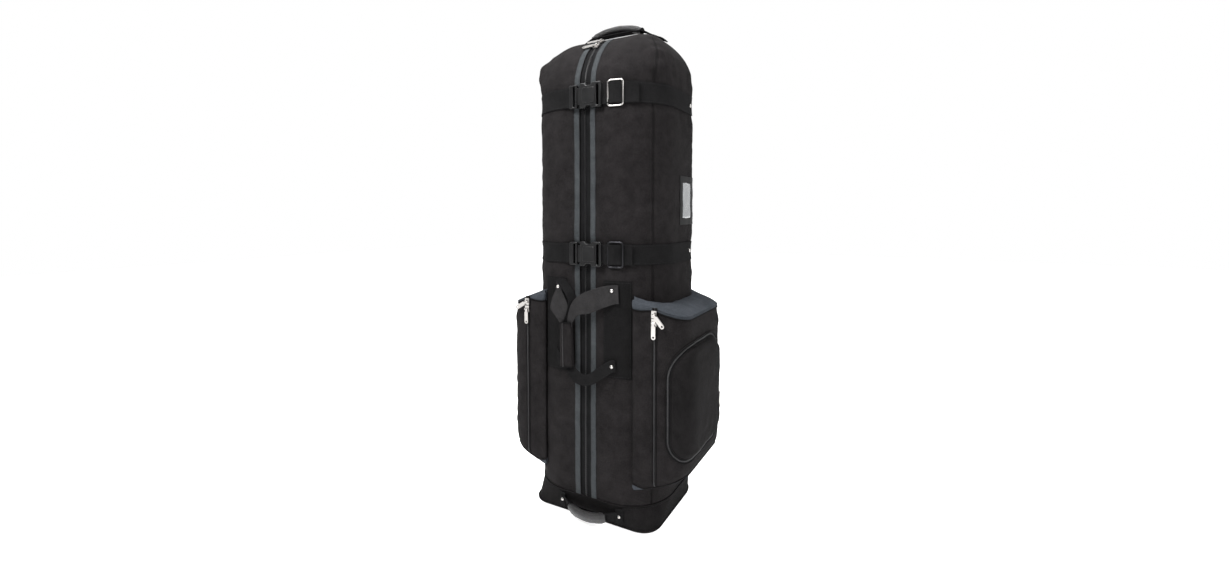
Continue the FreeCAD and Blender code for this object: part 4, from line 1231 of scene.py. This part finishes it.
def pocket_cap(name, side, label, lip, runs):
    """Pale top or bottom of a pocket: a lip folded over the wall, then a sagging panel to the case."""
    is_top = label == "top"
    toward = 1 if is_top else -1
    edge = pocket_top if is_top else pocket_floor
    start_angle = math.asin((POCKET_INNER - FLAT) / CORNER)
    inner_start = FLAT + CORNER * start_angle - 6
    inner_end = SIDE_END + CORNER * math.acos(min(1.0, (POCKET_INNER - FLAT + 4) / CORNER)) - 12

    def point(run, t):
        plan, out = pocket_plan(run)
        up = edge(plan.x)
        if t < 0:
            bulge = 2.6 * math.sin(math.pi * -t) * smooth(lip(run), 9, 24)
            return pocket_skin(run, up + toward * lip(run) * t, side, 0.4 + bulge)
        outer = plan + out * (pocket_relief(run, up, side) + 0.5 - 2.2 * smooth(t, 0, 0.03)
                              - (0 if is_top else 4.8))
        inner = bare_skin(lerp(inner_start, inner_end, run / POCKET_RUN), 500)
        place = outer.lerp(Vector((inner.x, inner.y, 0)), t)
        sag = 3.0 * math.sin(math.pi * t) + 1.8 * noise.noise(Vector((run / 40, t * 3, side)))
        drop = 1.6 * (1 - smooth(t, 0, 0.05)) + 4.0 * hump(t, 0.1, 0.12) * smooth(lip(run), 9, 24)
        rise = sag * smooth(t, 0, 0.2) - drop if is_top else -sag * 0.7
        return Vector((side * place.x, place.y, edge(max(place.x, POCKET_INNER - 4)) + rise))

    piece = sheet(f"{name}_pocket_{label}_cloth", runs[::side * toward], CAP_STATIONS, point, GREY, 1.8,
                  uv=lambda run, t: (run, t * 90))
    nodes = (f"{name}_pocket_top",) if is_top else when(side > 0, "pocket_bottoms")
    finish_piece(piece, "grey_fabric", *nodes)


def coil(name, track, radius=1.5):
    """A nylon coil: a fine ribbed tube along a track of points and normals."""
    sides = 7
    rings = []
    for (a, first), (b, second) in zip(track, track[1:]):
        count = max(1, round((b - a).length / 0.75))
        along = (b - a).normalized()
        for step in range(count):
            share = step / count
            rings.append((a.lerp(b, share), along, first.lerp(second, share).normalized()))
    verts = []
    faces = []
    for index, (at, along, normal) in enumerate(rings):
        across = along.cross(normal).normalized()
        size = radius * (1.0 if index % 2 else 0.72)
        for k in range(sides):
            angle = math.pi * k / (sides - 1)
            verts.append(at + across * 1.35 * size * math.cos(angle) + normal * size * 0.8 * math.sin(angle))
    for index in range(len(rings) - 1):
        for k in range(sides - 1):
            a = index * sides + k
            faces.append((a, a + sides, a + sides + 1, a + 1))
    return finish_piece(new_object(name, verts, faces, COIL, shade=False), "zipper")


# ---- small pocket


def rounded_distance(run, up):
    """Distance in from the small pocket's arched outline, negative outside."""
    is_upper = up > (SMALL_LOW + SMALL_HIGH) / 2
    radius = ARCH_ROUND if is_upper else SMALL_ROUND
    dx = max(SMALL_START + radius - run, run - (SMALL_END - radius), 0.0)
    dz = max(up - (SMALL_HIGH - radius), 0.0) if is_upper else max(SMALL_LOW + radius - up, 0.0)
    if dx > 0 and dz > 0:
        return radius - math.hypot(dx, dz)
    return min(run - SMALL_START, SMALL_END - run, SMALL_HIGH - up, up - SMALL_LOW)


def arch_outline(offset=0.0, pitch=3.0):
    """Run and height along the small pocket's outline, offset outward."""
    points = round_corners(SMALL_START - offset, SMALL_END + offset, SMALL_LOW - offset, SMALL_HIGH + offset,
                           ARCH_ROUND + offset, SMALL_ROUND + offset, 12)
    points.append(points[0])
    dense = []
    for (a, b), (c, d) in zip(points, points[1:]):
        count = max(1, int(math.hypot(c - a, d - b) / pitch))
        dense += [(lerp(a, c, k / count), lerp(b, d, k / count)) for k in range(count)]
    return dense + [dense[0]]


def make_small_pocket():
    """Raised outer pocket with its arched zipper."""
    def point(run, up):
        d = max(0.0, rounded_distance(run, up))
        round_edge = min(1.0, d / 17.0)
        lift = SMALL_RISE * math.sqrt(max(0.0, 1 - (1 - round_edge) ** 2))
        ripple = noise.noise(Vector((run / 38, up / 46, 2.2)))
        centre = 3.2 * smooth(d, 10, 80) + 2.4 * ripple * smooth(d, 6, 40)
        dent = -2.0 * hump(math.hypot(run - SMALL_END + 60, (up - 300) * 0.6), 0, 40)
        return pocket_skin(run, up, 1, lift + centre * 0.6 + dent + 0.4)

    rows = []
    uvs = []
    half = (SMALL_LOW + SMALL_HIGH) / 2
    for up in steps(SMALL_LOW, SMALL_HIGH, 4):
        radius = ARCH_ROUND if up > half else SMALL_ROUND
        reach = max(0.0, up - (SMALL_HIGH - radius)) if up > half else max(0.0, SMALL_LOW + radius - up)
        inset = radius - math.sqrt(max(0.0, radius ** 2 - reach ** 2))
        runs = [lerp(SMALL_START + inset, SMALL_END - inset, 0.5 - 0.5 * math.cos(math.pi * t))
                for t in steps(0, 1, 1 / 62)]
        rows.append([point(run, up) for run in runs])
        uvs.append([(run, up) for run in runs])
    panel = thicken(grid("small_pocket_cloth", rows, LINING, uvs), 2.2)
    finish_piece(panel, "shell_fabric", "small_pocket_panel")

    def ring(offset, lift):
        return [pocket_skin(run, up, 1, lift) for run, up in arch_outline(offset)]

    rows = [ring(offset, lift) for offset, lift in
            ((14, 0.4), (13, 1.8), (10.5, 2.2), (7, 1.2), (3.5, 2.2), (0, 3.0), (-1.5, 2.0))]
    count = min(len(row) for row in rows)
    rows = [[row[int(k * (len(row) - 1) / (count - 1))] for k in range(count)] for row in rows]
    uvs = [[(k * 3.0, index * 3.0) for k in range(count)] for index in range(len(rows))]
    band = grid("small_zip_band", rows[::-1], TAPE, uvs)
    finish_piece(band, "zipper", "small_pocket_zipper")
    piping("small_pocket_binding", ring(0.0, 3.4), 1.9, LINING)
    piping("small_pocket_outer_lip", ring(13.0, 1.8), 1.5, LINING)
    chain = [(pocket_skin(run, up, 1, 1.3), pocket_plan(run)[1]) for run, up in arch_outline(7.0)]
    coil("small_pocket_coil", chain, radius=1.8)


# ---- studio

# The photo's camera: lens in mm, shift as a share of the sensor, angles in degrees, places in metres.
LENS = 15.15
SHIFT = -0.038
YAW = 28.87
TILT = 2.33
DISTANCE = 1.461
SIDESTEP = 0.009
EYE_HEIGHT = 0.795
FLOOR_HALF = 9.0
FLOOR_GLOW = 0.85


def light(name, place, target, size, power):
    """A soft box aimed at a point, all in metres."""
    data = bpy.data.lights.new(name, "AREA")
    data.energy = power
    data.shape = "RECTANGLE"
    data.size = size
    data.size_y = size
    lamp = add_object(name, data)
    lamp.location = place
    lamp.rotation_euler = (Vector(target) - Vector(place)).to_track_quat("-Z", "Y").to_euler()


def make_studio():
    """White sweep, soft boxes and the camera of the photo."""
    scene = bpy.context.scene
    scene.view_settings.view_transform = "Standard"
    world = bpy.data.worlds.new("studio")
    world.use_nodes = True
    tree = world.node_tree
    place = tree.nodes.new("ShaderNodeTexCoord")
    split = tree.nodes.new("ShaderNodeSeparateXYZ")
    tree.links.new(place.outputs["Generated"], split.inputs[0])
    turn = link_math(tree, "MULTIPLY_ADD", split.outputs["Y"], 0.5, 0.5)
    shade = colour_ramp(tree, turn, ((0.30, (0.22, 0.22, 0.225)), (0.54, (1, 1, 1))))
    background = tree.nodes["Background"]
    tree.links.new(shade, background.inputs["Color"])
    background.inputs["Strength"].default_value = 1.0
    scene.world = world
    light("key_box", (-0.6, -1.6, 2.7), (0, 0, 1.15), 0.8, 130)
    light("fill_box", (2.3, -0.7, 2.3), (0, 0, 1.0), 0.8, 40)
    light("top_box", (0.2, -0.2, 2.5), (0, 0, 1.3), 0.9, 40)

    paper = bpy.data.materials.new("paper_sweep")
    paper.use_nodes = True
    shader = paper.node_tree.nodes["Principled BSDF"]
    shader.inputs["Base Color"].default_value = (0.96, 0.96, 0.96, 1)
    shader.inputs["Roughness"].default_value = 0.9
    shader.inputs["Emission Color"].default_value = (1, 1, 1, 1)
    shader.inputs["Emission Strength"].default_value = FLOOR_GLOW
    mesh = bpy.data.meshes.new("floor")
    corners = [(x, y, 0) for x, y in box_loop(-FLOOR_HALF, FLOOR_HALF, -FLOOR_HALF, FLOOR_HALF)[:4]]
    mesh.from_pydata(corners, [], [(0, 1, 2, 3)])
    mesh.materials.append(paper)
    floor = add_object("floor", mesh)

    data = bpy.data.cameras.new("photo_camera")
    data.lens = LENS
    data.sensor_width = 36.0
    data.shift_y = SHIFT
    data.clip_start = 0.05
    camera = add_object("photo_camera", data)
    yaw = math.radians(YAW)
    across = Vector((math.cos(yaw), math.sin(yaw), 0))
    camera.location = Vector((math.sin(yaw), -math.cos(yaw), 0)) * DISTANCE - across * SIDESTEP
    camera.location.z = EYE_HEIGHT
    camera.rotation_euler = (math.radians(90 - TILT), 0, yaw)
    scene.camera = camera


make_shell()
make_main_zipper()
make_straps()
make_buckles()
make_top_handle()
make_foot_handle()
make_carry_handle()
make_card_holder()
for side_name, side_sign in mirrored_sides():
    make_pocket(side_name, side_sign)
make_small_pocket()
paint_carried_nodes()
make_studio()
